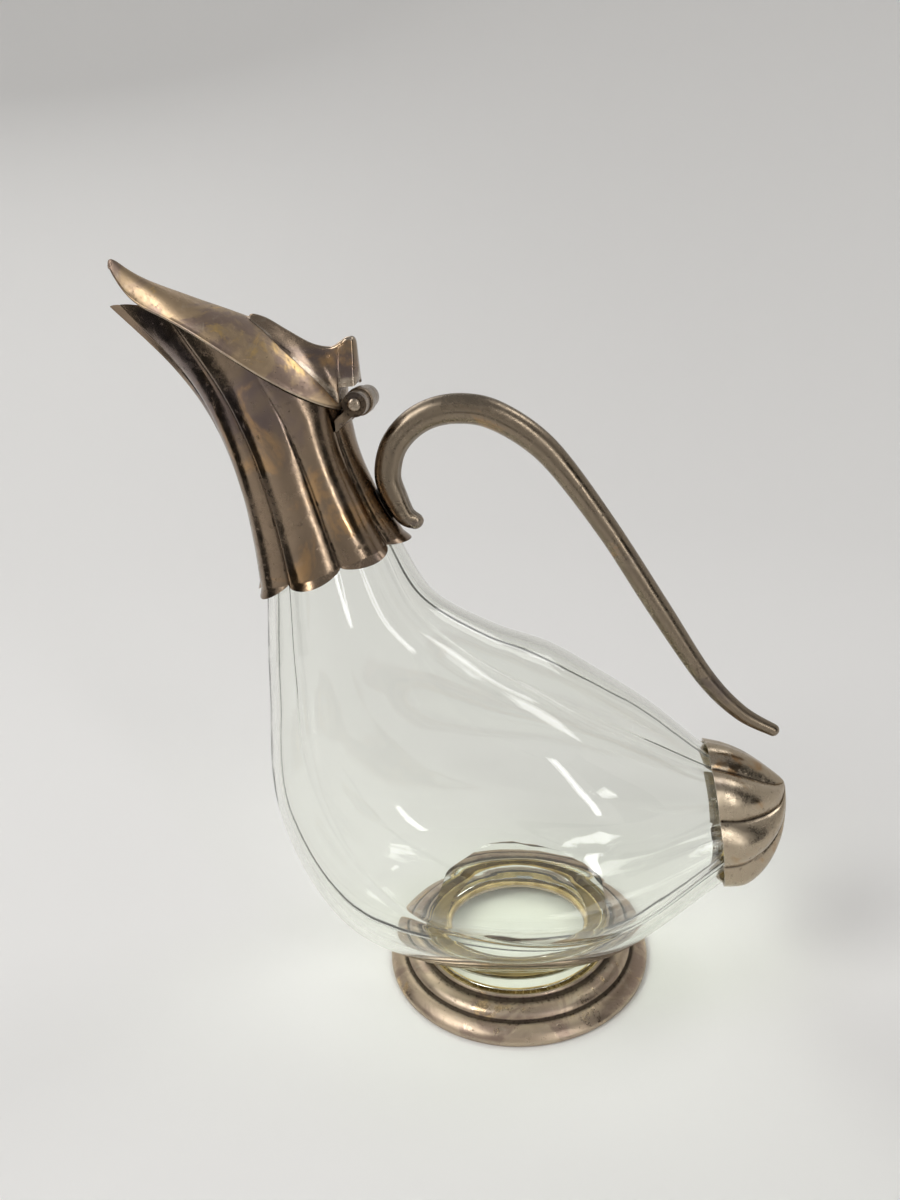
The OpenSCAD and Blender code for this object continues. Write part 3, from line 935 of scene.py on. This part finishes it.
class Studio:
    """Camera, lamps, floor and backdrop."""

    CAMERA_MM = (24.8, -275.5, 238.6)
    FORWARD = (-0.1393, 0.9319, -0.335)
    UP = (0.0212, 0.3410, 0.9398)
    LENS_MM = 27.03
    AIM = (-0.02, 0, 0.13)

    def build(self) -> None:
        """Make the whole studio."""
        self.camera()
        self.floor()
        self.flags()
        self.lamps()
        bpy.context.scene.view_settings.view_transform = "Standard"
        LOG.info("studio ready")

    def camera(self) -> None:
        """Make the camera at the place the photograph was taken from."""
        data = bpy.data.cameras.new("camera")
        data.lens = self.LENS_MM
        data.sensor_width = 36
        data.clip_start = 0.01
        cam = bpy.data.objects.new("camera", data)
        bpy.context.scene.collection.objects.link(cam)
        forward = Vector(self.FORWARD).normalized()
        up = Vector(self.UP)
        right = forward.cross(up).normalized()
        up = right.cross(forward).normalized()
        turn = Matrix((right, up, -forward)).transposed()
        spot = Vector(self.CAMERA_MM) * MM + Vector((FOOT_X * MM, 0, 0))
        cam.matrix_world = Matrix.Translation(spot) @ turn.to_4x4()
        bpy.context.scene.camera = cam

    def floor(self) -> None:
        """Make a pale floor that curves up into a backdrop all round."""
        flat, curve, top, arc = 0.6, 1.2, 1.9, 24
        profile = [(0.0, 0.0)]
        for i in range(arc + 1):
            a = math.pi / 2 * i / arc
            profile.append((flat + curve * math.sin(a), curve * (1 - math.cos(a))))
        profile.append((flat + curve, top))
        obj = Shapes.mesh("floor", *Shapes.turn(profile, 96, False))
        with edited(obj.data) as work:
            bmesh.ops.remove_doubles(work, verts=work.verts, dist=1e-6)
        for face in obj.data.polygons:
            face.use_smooth = True
        obj.data.materials.append(self.plain("pale_floor", (0.88, 0.87, 0.85), 0.75))

    @staticmethod
    def plain(name: str, color: Color, rough: float) -> bpy.types.Material:
        """Return a plain material of one colour and roughness."""
        mat = bpy.data.materials.new(name)
        mat.use_nodes = True
        shader = mat.node_tree.nodes["Principled BSDF"]
        shader.inputs["Base Color"].default_value = (*color, 1)
        shader.inputs["Roughness"].default_value = rough
        return mat

    def flags(self) -> None:
        """Make dark cards beside the jug, out of the picture, that only reflections see."""
        mat = self.plain("dark_card", (0.02, 0.02, 0.02), 0.9)
        for name, low, high in (
            ("card_left", (-0.62, -0.28, 0.0), (-0.5, 0.05, 0.75)),
            ("card_right", (0.52, -0.42, 0.0), (0.62, -0.12, 0.75)),
            ("card_front", (-0.95, -0.95, 0.004), (0.95, -0.42, 0.004)),
        ):
            (x0, y0, z0), (x1, y1, z1) = low, high
            if z0 == z1:
                points = [(x0, y0, z0), (x1, y0, z0), (x1, y1, z0), (x0, y1, z0)]
            else:
                points = [(x0, y0, z0), (x1, y1, z0), (x1, y1, z1), (x0, y0, z1)]
            card = Shapes.mesh(name, np.array(points), [(0, 1, 2, 3)])
            card.data.materials.append(mat)
            for ray in ("camera", "shadow", "diffuse", "transmission"):
                setattr(card, f"visible_{ray}", False)

    def lamps(self) -> None:
        """Make four soft lamps and a dim surrounding light."""
        for name, spot, size, power in (
            ("window", (-0.75, -0.45, 0.95), (0.45, 0.6), 5.0),
            ("strip", (0.62, -0.75, 0.55), (0.09, 0.9), 1.9),
            ("back", (-0.75, 0.95, 1.1), (0.8, 0.5), 3.3),
            ("high", (0.8, 0.5, 1.35), (0.5, 0.5), 2.8),
        ):
            data = bpy.data.lights.new(name, "AREA")
            data.shape = "RECTANGLE"
            data.size, data.size_y = size
            data.energy = power
            lamp = bpy.data.objects.new(name, data)
            bpy.context.scene.collection.objects.link(lamp)
            turn = (Vector(self.AIM) - Vector(spot)).to_track_quat("-Z", "Y")
            lamp.matrix_world = Matrix.Translation(Vector(spot)) @ turn.to_matrix().to_4x4()
        world = bpy.data.worlds.new("surroundings")
        world.use_nodes = True
        world.node_tree.nodes["Background"].inputs[0].default_value = (0.86, 0.86, 0.88, 1)
        world.node_tree.nodes["Background"].inputs[1].default_value = 0.38
        bpy.context.scene.world = world


@dataclass
class GlassBody:
    """The ribbed glass with its base ring."""

    around: int = 240
    outer_steps: int = 140
    inner_steps: int = 110
    wall: float = GLASS_WALL
    ring_out: float = 33.2
    ring_in: float = 26.5
    ring_low: float = 7.4
    ring_top: float = 20
    flare: float = 4
    flare_low: float = 9.6
    creases: float = 0.07
    ring_round: float = 0.7
    flare_steps: int = 8

    def build(self, flutes: Flutes, finishes: Finishes) -> None:
        """Make the glass.

        Args:
            flutes: The nodes that press the ribs.
            finishes: The jug's finishes.
        """
        rows = glass_rows()
        last = len(rows) - 1
        shell = Shell("glass_jug", self.around)
        shell.sweep(rows, 0, last - 0.25, self.outer_steps, 0)
        shell.sweep(rows, last - 0.25, 0.5, self.inner_steps, -self.wall)
        body = shell.finish(loop=False)
        flutes.press(body, finishes.get(Tone.GLASS), self.creases)
        r, rise, steps = self.ring_round, self.ring_top - self.flare_low, self.flare_steps
        flare = [(self.ring_out + self.flare * (i / steps) ** 2, self.flare_low + rise * i / steps)
                 for i in range(steps + 1)]
        ring = Shapes.lathe("base_ring", [
            (self.ring_in, self.ring_top), (self.ring_in, self.ring_low + r),
            (self.ring_in + r * 0.3, self.ring_low + r * 0.3),
            (self.ring_in + r, self.ring_low), (self.ring_out - r, self.ring_low),
            (self.ring_out - r * 0.3, self.ring_low + r * 0.3), (self.ring_out, self.ring_low + r), *flare],
            (0, 0, 0), "Z", 192)
        inner = Shell("inside", self.around)
        inner.sweep(rows, 0.5, last, self.inner_steps, -self.wall + 0.05)
        cutter = inner.finish(loop=False)
        flutes.press(cutter, finishes.get(Tone.GLASS), self.creases)
        Shapes.tidy(cutter)
        Shapes.tidy(body)
        self.fuse(ring, cutter, "DIFFERENCE")
        self.fuse(body, ring, "UNION")
        for helper in (ring, cutter):
            bpy.data.objects.remove(helper)
        Shapes.tidy(body, 32)
        body.data.materials.clear()
        body.data.materials.append(finishes.get(Tone.GLASS))
        declare(body, "jug", "glass_body")

    @staticmethod
    def fuse(target: bpy.types.Object, tool: bpy.types.Object, how: str) -> None:
        """Join or cut one closed piece with another.

        Args:
            target: The piece that is changed.
            tool: The other piece.
            how: UNION or DIFFERENCE.
        """
        step = target.modifiers.new("fuse", "BOOLEAN")
        step.operation = how
        step.solver = "EXACT"
        step.object = tool
        Shapes.bake(target)


@dataclass
class NeckCollar:
    """The fluted metal neck with its petals and its pointed mouth."""

    around: int = 256
    petal_len: float = 2.6
    petal_flare: float = 1.6
    petal_steps: int = 8
    rounding: float = 0.06
    groove: float = 0.00035

    def petals(self, shell: Shell, share: float, by: float) -> None:
        """Add a ring of the petals below the neck's first cross-section.

        Args:
            shell: The neck's shell.
            share: 0 at the neck, 1 at the petals' edge.
            by: How far the ring is moved outwards, in millimetres.
        """
        row = NECK_ROWS[0]
        dx, dz = row[2] - row[0], row[3] - row[1]
        length = math.hypot(dx, dz)
        edge, near = section(grown(row, by), shell.t)
        wide, far = section(grown(row, by + self.petal_flare * share), shell.t)
        k = (0.05 + 0.95 * np.abs(np.cos(RIBS * shell.t / 2)) ** 0.7)[:, None]
        down = np.array([-dz, 0, dx]) / length * self.petal_len * share
        shell.rings.append(edge + (wide - edge) * k + down * k)
        shell.reach.append(near + (far - near) * k)

    def build(self, flutes: Flutes, finishes: Finishes) -> None:
        """Make the neck.

        Args:
            flutes: The nodes that press the flutes.
            finishes: The jug's finishes.
        """
        last = len(NECK_ROWS) - 1
        shell = Shell("fluted_neck", self.around)
        steps = self.petal_steps
        for i in range(steps):
            self.petals(shell, 1 - i / steps, 0)
        shell.sweep(NECK_ROWS, 0, last, 90, 0)
        shell.sweep(NECK_ROWS, last, 0, 60, -SHEET)
        for i in range(steps):
            self.petals(shell, (i + 1) / steps, -SHEET)
        neck = shell.finish(loop=True)
        flutes.press(neck, finishes.get(Tone.NECK), self.rounding, self.groove)
        Shapes.tidy(neck, 50)
        Shapes.soften(neck, 0.00025, 2, 60)
        Shapes.mark_wear_and_shade(neck, 0.00022, 4, 1)
        declare(neck, "jug", "neck_collar")


@dataclass
class TailCap:
    """The fluted cap on the tail."""

    around: int = 256
    rounding: float = 0.06
    groove: float = 0.0003

    def build(self, flutes: Flutes, finishes: Finishes) -> None:
        """Make the cap.

        Args:
            flutes: The nodes that press the flutes.
            finishes: The jug's finishes.
        """
        shell = Shell("tail_cap_fluted", self.around)
        shell.sweep(CAP_ROWS, 6, 0, 90, 0)
        shell.sweep(CAP_ROWS, 0, 4, 40, -SHEET)
        cap = shell.finish(loop=False)
        flutes.press(cap, finishes.get(Tone.CAP), self.rounding, self.groove)
        Shapes.tidy(cap, 50)
        Shapes.mark_wear_and_shade(cap, 0.00028, 5, 1)
        declare(cap, "jug", "tail_cap")


@dataclass
class Foot:
    """The stepped metal foot."""

    rest_r: float = 47.5
    step_r: float = 41.5
    throat_r: float = 33.9
    ledge_r: float = 25.25
    ledge_z: float = 6.4
    sheet: float = 1.2
    height: float = 9.6
    band: float = 2.2

    def build(self, finishes: Finishes) -> None:
        """Make the foot.

        Args:
            finishes: The jug's finishes.
        """
        r, s, h, b = self.rest_r, self.step_r, self.height, self.band
        lip = self.throat_r + self.sheet
        inner = r - 2 * self.sheet
        band = [(-0.9, 0), (-0.35, 0.12), (-0.05, 0.5), (0, 1.0), (0, b - 0.7), (-0.1, b - 0.25)]
        slope = [(-0.4, 0.15), (-0.8, 0.7), (-1.3, 1.15), (-1.9, 1.6), (-2.6, 2), (-3.4, 2.4)]
        step = [(1.8, 2.7), (1.1, 2.85), (0.6, 2.85), (0.25, 2.95), (0, 3.3), (-0.15, 3.9),
                (-0.5, 4.4), (-1.05, 4.9), (-1.7, 5.3), (-2.5, 5.6), (-3.4, 5.8)]
        neck = [(1.4, 5.95), (0.8, 6), (0.35, 6.1)]
        rim = [(0.15, -1.1), (0, -0.6), (-0.1, -0.25), (-0.35, 0), (-0.8, 0)]
        profile = [(inner, 0)]
        for across, up, points in ((r, 0, band), (r, b, slope), (s, b, step), (lip, b, neck), (lip, h, rim)):
            profile += [(across + x, up + z) for x, z in points]
        low = self.ledge_z - self.sheet
        profile += [
            (self.throat_r + 0.1, h - 0.12), (self.throat_r, h - 0.5), (self.throat_r, self.ledge_z),
            (self.ledge_r, self.ledge_z), (self.ledge_r, low), (s - self.sheet, low),
            (inner, b - self.sheet / 2)]
        foot = Shapes.lathe("turned_foot", profile, (0, 0, 0), "Z", 160)
        Shapes.mark_wear_and_shade(foot, 0.0002)
        foot.data.materials.append(finishes.get(Tone.FOOT))
        declare(foot, "jug", "foot_ring")


@dataclass
class Lid:
    """The leaf-shaped lid with its crest."""

    thick: float = 1.0
    rim: float = 0.4
    gap: float = 0.5
    overhang: float = 0.8
    crown: float = 11
    curl: float = 11.5
    curl_start: float = 0.7
    curl_power: float = 4.5
    reach: float = 0.955
    blunt: float = 0.7
    tip_half_w: float = 3
    tip_drop: float = 0.75
    tip_drop_power: float = 28
    rear_deg: float = 164
    tip_deg: float = 6
    end_round: float = 1.5
    end_fall: float = 0.3
    crest_foot: int = 16
    crest_sides: int = 14
    crest_steps: int = 90
    seat_gap: float = 0.12
    rear_z: float = 210.2
    rear_bow: float = 0.6
    top_round: float = 0.6
    row: np.ndarray = field(init=False)

    def __post_init__(self) -> None:
        """Work out the lid's outline from the mouth's."""
        mouth = NECK_ROWS[-1]
        end = mouth[:2] + (mouth[2:4] - mouth[:2]) * self.reach
        self.row = grown(np.array([mouth[0], mouth[1], end[0], end[1], mouth[4], 0, 1]), self.overhang)

    def edge(self, t: float) -> np.ndarray:
        """Return place along the mouth, half width and height of the lid's upper edge at angle t."""
        points, _ = section(self.row, np.array([t]))
        s = (1 + math.cos(t)) / 2
        curl = self.curl * max(0.0, (s - self.curl_start) / (1 - self.curl_start)) ** self.curl_power
        width = self.row[4] * leaf(np.array([t]), self.blunt)[0]
        width += self.tip_half_w * abs(math.sin(t)) ** 0.4 * s**6
        return np.array([points[0][0], width, points[0][2] + self.gap + self.thick + curl])

    def top(self, t: float, v: float) -> float:
        """Return the height of the lid's upper face.

        Args:
            t: Angle round the lid's edge, in radians.
            v: Share of the half width.

        Returns:
            The height in millimetres.
        """
        s = (1 + math.cos(t)) / 2
        drop = 1 - self.tip_drop * s**self.tip_drop_power
        crown = self.crown * row_at(CROWN_SHARES, (len(CROWN_SHARES) - 1) * s)[0] * drop
        return self.edge(t)[2] + crown * (1 - min(1.0, abs(v)) ** 2.2)

    def angle(self, x: float) -> float:
        """Return the angle round the lid's edge at a place x."""
        return math.acos(max(-1.0, min(1.0, 2 * (self.row[0] - x) / (self.row[0] - self.row[2]) - 1)))

    def leaf_shell(self, finishes: Finishes) -> None:
        """Make the lid's leaf with a rounded edge.

        Args:
            finishes: The jug's finishes.
        """
        cross, steps, rings = 40, 110, []
        start, end = math.radians(self.rear_deg), math.radians(self.tip_deg)
        for i in range(steps + 1):
            t = start + (end - start) * i / steps
            x, width, _ = self.edge(t)
            shares = [1 - 2 * j / cross for j in range(cross + 1)]
            half = self.thick / 2
            low = self.edge(t)[2] - half
            ring = [(x, width * v, self.top(t, v)) for v in shares]
            for j in range(1, 5):
                a = math.pi * j / 5
                ring.append((x, -width - self.rim * math.sin(a), low + half * math.cos(a)))
            ring += [(x, width * -v, self.top(t, -v) - self.thick) for v in shares]
            for j in range(1, 5):
                a = math.pi * (1 + j / 5)
                ring.append((x, width - self.rim * math.sin(a), low + half * math.cos(a)))
            rings.append(np.array(ring))
        middle = rings[-1].mean(axis=0)
        for share, out in ((0.93, 0.3), (0.75, 0.62), (0.45, 0.85)):
            rings.append(middle + (rings[steps] - middle) * share - np.array([out, 0, 0]))
        lid = Shapes.loft("leaf_lid", rings)
        Shapes.mark_wear_and_shade(lid, 0.0003)
        lid.data.materials.append(finishes.get(Tone.LID))
        declare(lid, "lid", "lid")

    def crest(self, finishes: Finishes) -> None:
        """Make the crest that the thumb presses.

        Args:
            finishes: The jug's finishes.
        """
        foot, sides, steps, rings = self.crest_foot, self.crest_sides, self.crest_steps, []
        rear_x = self.edge(math.radians(self.rear_deg))[0]
        for i in range(steps + 1):
            x, base, ridge, top_w = row_at(CREST_ROWS, (len(CREST_ROWS) - 1) * i / steps)
            t = self.angle(x)
            half = abs(self.edge(t)[1])
            low = []
            for j in range(foot + 1):
                v = abs(1 - 2 * j / foot)
                seat = self.top(t, min(1, v * base / half)) + self.seat_gap
                low.append(seat if x < rear_x else self.rear_z + self.rear_bow * (1 - v * v))
            side, fall = [], top_w * self.top_round
            for j in range(1, sides + 1):
                k = j / sides
                width = top_w + (base - top_w) * (1 - k) ** 2
                side.append((width, low[0] + (ridge - fall - low[0]) * math.sin(math.pi / 2 * k)))
            angles = [math.pi / 2 * j / 5 for j in range(1, 5)]
            cap = [(top_w * math.cos(a), ridge - fall * (1 - math.sin(a))) for a in angles]
            ring = [(x, base * (1 - 2 * j / foot), low[j]) for j in range(foot + 1)]
            ring += [(x, -y, z) for y, z in side] + [(x, -y, z) for y, z in cap]
            ring += [(x, y, z) for y, z in reversed(cap)] + [(x, y, z) for y, z in reversed(side)]
            rings.append(np.array(ring))
        for way in (1, -1):
            ring = rings[-1] if way > 0 else rings[0]
            middle = ring.mean(axis=0)
            for step in range(1, 8):
                a = math.pi / 2 * step / 8
                share = np.array([1, math.cos(a), 1 - self.end_fall * (1 - math.cos(a))])
                out = np.array([self.end_round * math.sin(a) * way, 0, 0])
                rings.insert(len(rings) if way > 0 else 0, middle + (ring - middle) * share + out)
        crest = Shapes.loft("thumb_crest", rings)
        Shapes.tidy(crest, 75)
        Shapes.mark_wear_and_shade(crest, 0.0003)
        crest.data.materials.append(finishes.get(Tone.NECK))
        declare(crest, "lid", "lid_crest")

    def build(self, finishes: Finishes) -> None:
        """Make the lid and its crest.

        Args:
            finishes: The jug's finishes.
        """
        self.leaf_shell(finishes)
        self.crest(finishes)


class RodSweep:
    """Geometry nodes that sweep a round rod along a path and press a channel into its inner side."""

    def __init__(self) -> None:
        """Build the node tree."""
        tree = bpy.data.node_groups.new("sweep_rod", "GeometryNodeTree")
        face = tree.interface
        face.new_socket("Path", in_out="INPUT", socket_type="NodeSocketGeometry")
        around = face.new_socket("Points Around", in_out="INPUT", socket_type="NodeSocketInt")
        around.default_value = 40
        for name, value in (("Channel Half Width", 0.6), ("Channel Depth", 0.3)):
            socket = face.new_socket(name, in_out="INPUT", socket_type="NodeSocketFloat")
            socket.default_value = value
        face.new_socket("Finish", in_out="INPUT", socket_type="NodeSocketMaterial")
        face.new_socket("Rod", in_out="OUTPUT", socket_type="NodeSocketGeometry")
        n = Nodes(tree)
        start = n.add("NodeGroupInput")
        named = {}
        for name, kind in (("rod_radius", "FLOAT"), ("channel", "FLOAT"), ("inward", "FLOAT_VECTOR"),
                           ("spine", "FLOAT_VECTOR")):
            named[name] = n.add("GeometryNodeInputNamedAttribute", data_type=kind)
            named[name].inputs["Name"].default_value = name
        curve = n.add("GeometryNodeMeshToCurve")
        n.join(start.outputs["Path"], curve.inputs["Mesh"])
        thick = n.add("GeometryNodeSetCurveRadius")
        n.join(curve.outputs[0], thick.inputs["Curve"])
        n.join(named["rod_radius"].outputs[0], thick.inputs["Radius"])
        circle = n.add("GeometryNodeCurvePrimitiveCircle")
        circle.inputs["Radius"].default_value = 1
        n.join(start.outputs["Points Around"], circle.inputs["Resolution"])
        sweep = n.add("GeometryNodeCurveToMesh")
        n.join(thick.outputs[0], sweep.inputs["Curve"])
        n.join(circle.outputs[0], sweep.inputs["Profile Curve"])
        if "Scale" in sweep.inputs:
            n.join(named["rod_radius"].outputs[0], sweep.inputs["Scale"])
        here = n.add("GeometryNodeInputPosition").outputs[0]
        spoke = n.vector("SUBTRACT", here, named["spine"].outputs[0])
        unit = n.vector("NORMALIZE", spoke.outputs[0]).outputs[0]
        along = n.vector("DOT_PRODUCT", unit, named["inward"].outputs[0])
        off = n.math("SUBTRACT", 1, along.outputs["Value"])
        share = n.math("DIVIDE", off, start.outputs["Channel Half Width"])
        bowl = n.math("SUBTRACT", 1, n.math("MINIMUM", n.math("MULTIPLY", share, share), 1))
        fading = n.math("MULTIPLY", bowl, named["channel"].outputs[0])
        depth = n.math("MULTIPLY", fading, start.outputs["Channel Depth"])
        move = n.vector("SCALE", spoke.outputs[0], n.math("MULTIPLY", depth, -1))
        shift = n.add("GeometryNodeSetPosition")
        n.join(sweep.outputs[0], shift.inputs["Geometry"])
        n.join(move.outputs[0], shift.inputs["Offset"])
        weld = n.add("GeometryNodeMergeByDistance")
        weld.inputs["Distance"].default_value = 2e-6
        n.join(shift.outputs[0], weld.inputs["Geometry"])
        real = n.add("GeometryNodeRealizeInstances")
        n.join(weld.outputs[0], real.inputs[0])
        dress = n.add("GeometryNodeSetMaterial")
        n.join(real.outputs[0], dress.inputs["Geometry"])
        n.join(start.outputs["Finish"], dress.inputs["Material"])
        n.join(dress.outputs[0], n.add("NodeGroupOutput").inputs[0])
        self.tree = tree

    def sweep(self, path: bpy.types.Object, around: int, depth: float, finish: bpy.types.Material) -> None:
        """Turn a path into a rod and make it a plain mesh.

        Args:
            path: A line of edges with the attributes rod_radius, channel, inward and spine.
            around: Points round the rod.
            depth: Depth of the channel as a share of the rod's half thickness.
            finish: The rod's material.
        """
        Shapes.run_nodes(path, self.tree, {
            "Points Around": around, "Channel Half Width": 0.3, "Channel Depth": depth, "Finish": finish})


@dataclass
class Handle:
    """The rod handle that scrolls against the neck and reaches back over the body."""

    thick: float = 9.2
    channel: float = 0.3
    channel_end: float = 7
    steps: int = 220
    end_angles: tuple[int, ...] = (15, 30, 45, 60, 75, 88)
    end_reach: float = 0.9

    def build(self, rod: RodSweep, finishes: Finishes) -> None:
        """Make the handle.

        Args:
            rod: The nodes that sweep the rod.
            finishes: The jug's finishes.
        """
        last = len(HANDLE_ROWS) - 1
        spine, radius, channel, inward = [], [], [], []

        def station(place: float, share: float, past: float) -> None:
            """Add a point of the path, past the end by a share of the rod's half thickness."""
            row = row_at(HANDLE_ROWS, place)
            a = row_at(HANDLE_ROWS, max(place - 0.02, 0))
            b = row_at(HANDLE_ROWS, min(place + 0.02, last))
            dx, dz = b[0] - a[0], b[1] - a[1]
            length = math.hypot(dx, dz)
            r = self.thick / 2 * row[2]
            spine.append((row[0] + past * r * dx / length, 0, row[1] + past * r * dz / length))
            radius.append(r * share * MM)
            channel.append(max(0.0, 1 - place / self.channel_end) * (1.0 if share > 0.99 else share**4))
            inward.append((dz / length, 0, -dx / length))

        ends = [(math.cos(a), self.end_reach * math.sin(a)) for a in map(math.radians, self.end_angles)]
        for share, past in reversed(ends):
            station(0, share, -past)
        for i in range(self.steps + 1):
            station(last * i / self.steps, 1, 0)
        for share, past in ends:
            station(last, share, past)
        points = Shapes.place(np.array(spine))
        data = bpy.data.meshes.new("scroll_handle")
        data.from_pydata([tuple(p) for p in points], [(i, i + 1) for i in range(len(points) - 1)], [])
        path = bpy.data.objects.new("scroll_handle", data)
        bpy.context.scene.collection.objects.link(path)
        for name, values in (("rod_radius", radius), ("channel", channel), ("inward", inward),
                             ("spine", points)):
            Shapes.store(data, name, np.array(values))
        rod.sweep(path, 48, self.channel, finishes.get(Tone.HANDLE))
        with edited(path.data) as work:
            bmesh.ops.holes_fill(work, edges=work.edges, sides=0)
        Shapes.tidy(path, 60)
        Shapes.mark_wear_and_shade(path, 0.0003)
        declare(path, "jug", "handle")


@dataclass
class Beds:
    """The cement under the glass, in the neck and in the tail cap."""

    around: int = 96
    bore: float = 26.45
    ring_out: float = 33.25
    throat: float = 33.85
    ledge_z: float = 6.4
    seat_z: float = 7.4
    sleeve_z: float = 8.0
    top_z: float = 8.8
    sleeve: float = 0.95
    rounding: float = 0.08

    def build(self, flutes: Flutes, finishes: Finishes) -> None:
        """Make the three beds.

        Args:
            flutes: The nodes that press the flutes.
            finishes: The jug's finishes.
        """
        glass = glass_rows()
        neck_end = len(glass) - 3
        for name, node, metal, outer, inner in (
            ("neck_bed", "collar_cement", NECK_ROWS, (0.25, 1.5), (neck_end + 1.5, neck_end + 0.25)),
            ("tail_bed", "tail_cement", CAP_ROWS, (0.67, 1.67), (1.5, 2.25)),
        ):
            shell = Shell(name, self.around)
            shell.sweep(metal, *outer, 14, -SHEET - TOUCH)
            shell.sweep(glass, *inner, 14, TOUCH)
            bed = shell.finish(loop=True)
            flutes.press(bed, finishes.get(Tone.CEMENT), self.rounding)
            Shapes.tidy(bed)
            declare(bed, "jug", node)
        inner_r = self.bore - self.sleeve
        bed = Shapes.lathe("foot_bed", [
            (inner_r, self.ledge_z), (self.throat, self.ledge_z), (self.throat, self.top_z),
            (self.ring_out, self.top_z), (self.ring_out, self.seat_z), (self.bore, self.seat_z),
            (self.bore, self.sleeve_z), (inner_r, self.sleeve_z)], (0, 0, 0), "Z", 192)
        bed.data.materials.append(finishes.get(Tone.CEMENT))
        declare(bed, "jug", "foot_cement")


@dataclass
class Hinge:
    """The barrel of the lid's hinge with its pin."""

    x: float = -39.5
    z: float = 205.3
    pin_d: float = 2.2
    middle_len: float = 6.4
    outer_len: float = 6.2
    gap: float = 0.3
    head_d: float = 4.2
    head_h: float = 1.1

    def knuckle(self, name: str, node: str, body: str, finishes: Finishes) -> None:
        """Make a rounded copy of one of the hinge's solids.

        Args:
            name: Name of the piece.
            node: The solid's node.
            body: The body it moves with.
            finishes: The jug's finishes.
        """
        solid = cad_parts[node]
        data = solid.data.copy()
        data.transform(solid.matrix_world)
        data.materials.clear()
        obj = bpy.data.objects.new(name, data)
        bpy.context.scene.collection.objects.link(obj)
        with edited(data) as work:
            bmesh.ops.remove_doubles(work, verts=work.verts, dist=2e-6)
            bmesh.ops.dissolve_limit(work, angle_limit=math.radians(1.5), verts=work.verts, edges=work.edges)
        Shapes.soften(obj, 0.0005, 3, 50)
        Shapes.tidy(obj, 45)
        Shapes.mark_wear_and_shade(obj, 0.0002)
        obj.data.materials.clear()
        obj.data.materials.append(finishes.get(Tone.HINGE))
        declare(obj, body, node)

    def build(self, finishes: Finishes) -> None:
        """Make the knuckles and the pin.

        Args:
            finishes: The jug's finishes.
        """
        self.knuckle("outer_knuckles", "hinge_bracket", "jug", finishes)
        self.knuckle("middle_knuckle", "lid_knuckle", "lid", finishes)
        side = self.middle_len / 2 + self.gap
        end = side + self.outer_len
        r, h = self.head_d / 2, self.head_h
        head = [(0, end + h), (r * 0.55, end + h * 0.93), (r * 0.85, end + h * 0.62), (r, end + h * 0.2),
                (r, end), (self.pin_d / 2, end)]
        profile = [(radius, -y) for radius, y in head] + head[::-1]
        pin = Shapes.lathe("hinge_rivet", profile, (self.x, 0, self.z), "Y", 48, closed=False)
        Shapes.mark_wear_and_shade(pin, 0.0002)
        pin.data.materials.append(finishes.get(Tone.HINGE))
        declare(pin, "jug", "hinge_pin")


def dress_nodes(finishes: Finishes) -> None:
    """Give the CAD nodes that stay their finishes.

    Args:
        finishes: The jug's finishes.
    """
    kept = {"handle_solder": Tone.HINGE}
    for name, tone in kept.items():
        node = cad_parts[name]
        if not node.material_slots:
            node.data.materials.append(finishes.get(tone))
        for slot in node.material_slots:
            slot.material = finishes.get(tone)
        LOG.info("dressed %s", name)


def main() -> None:
    """Build the jug and its studio."""
    logging.basicConfig(level=logging.INFO, format="%(message)s")
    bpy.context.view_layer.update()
    finishes = Finishes()
    flutes = Flutes()
    Studio().build()
    GlassBody().build(flutes, finishes)
    NeckCollar().build(flutes, finishes)
    TailCap().build(flutes, finishes)
    Foot().build(finishes)
    Lid().build(finishes)
    Handle().build(RodSweep(), finishes)
    Hinge().build(finishes)
    Beds().build(flutes, finishes)
    dress_nodes(finishes)


if __name__ == "__main__":
    main()
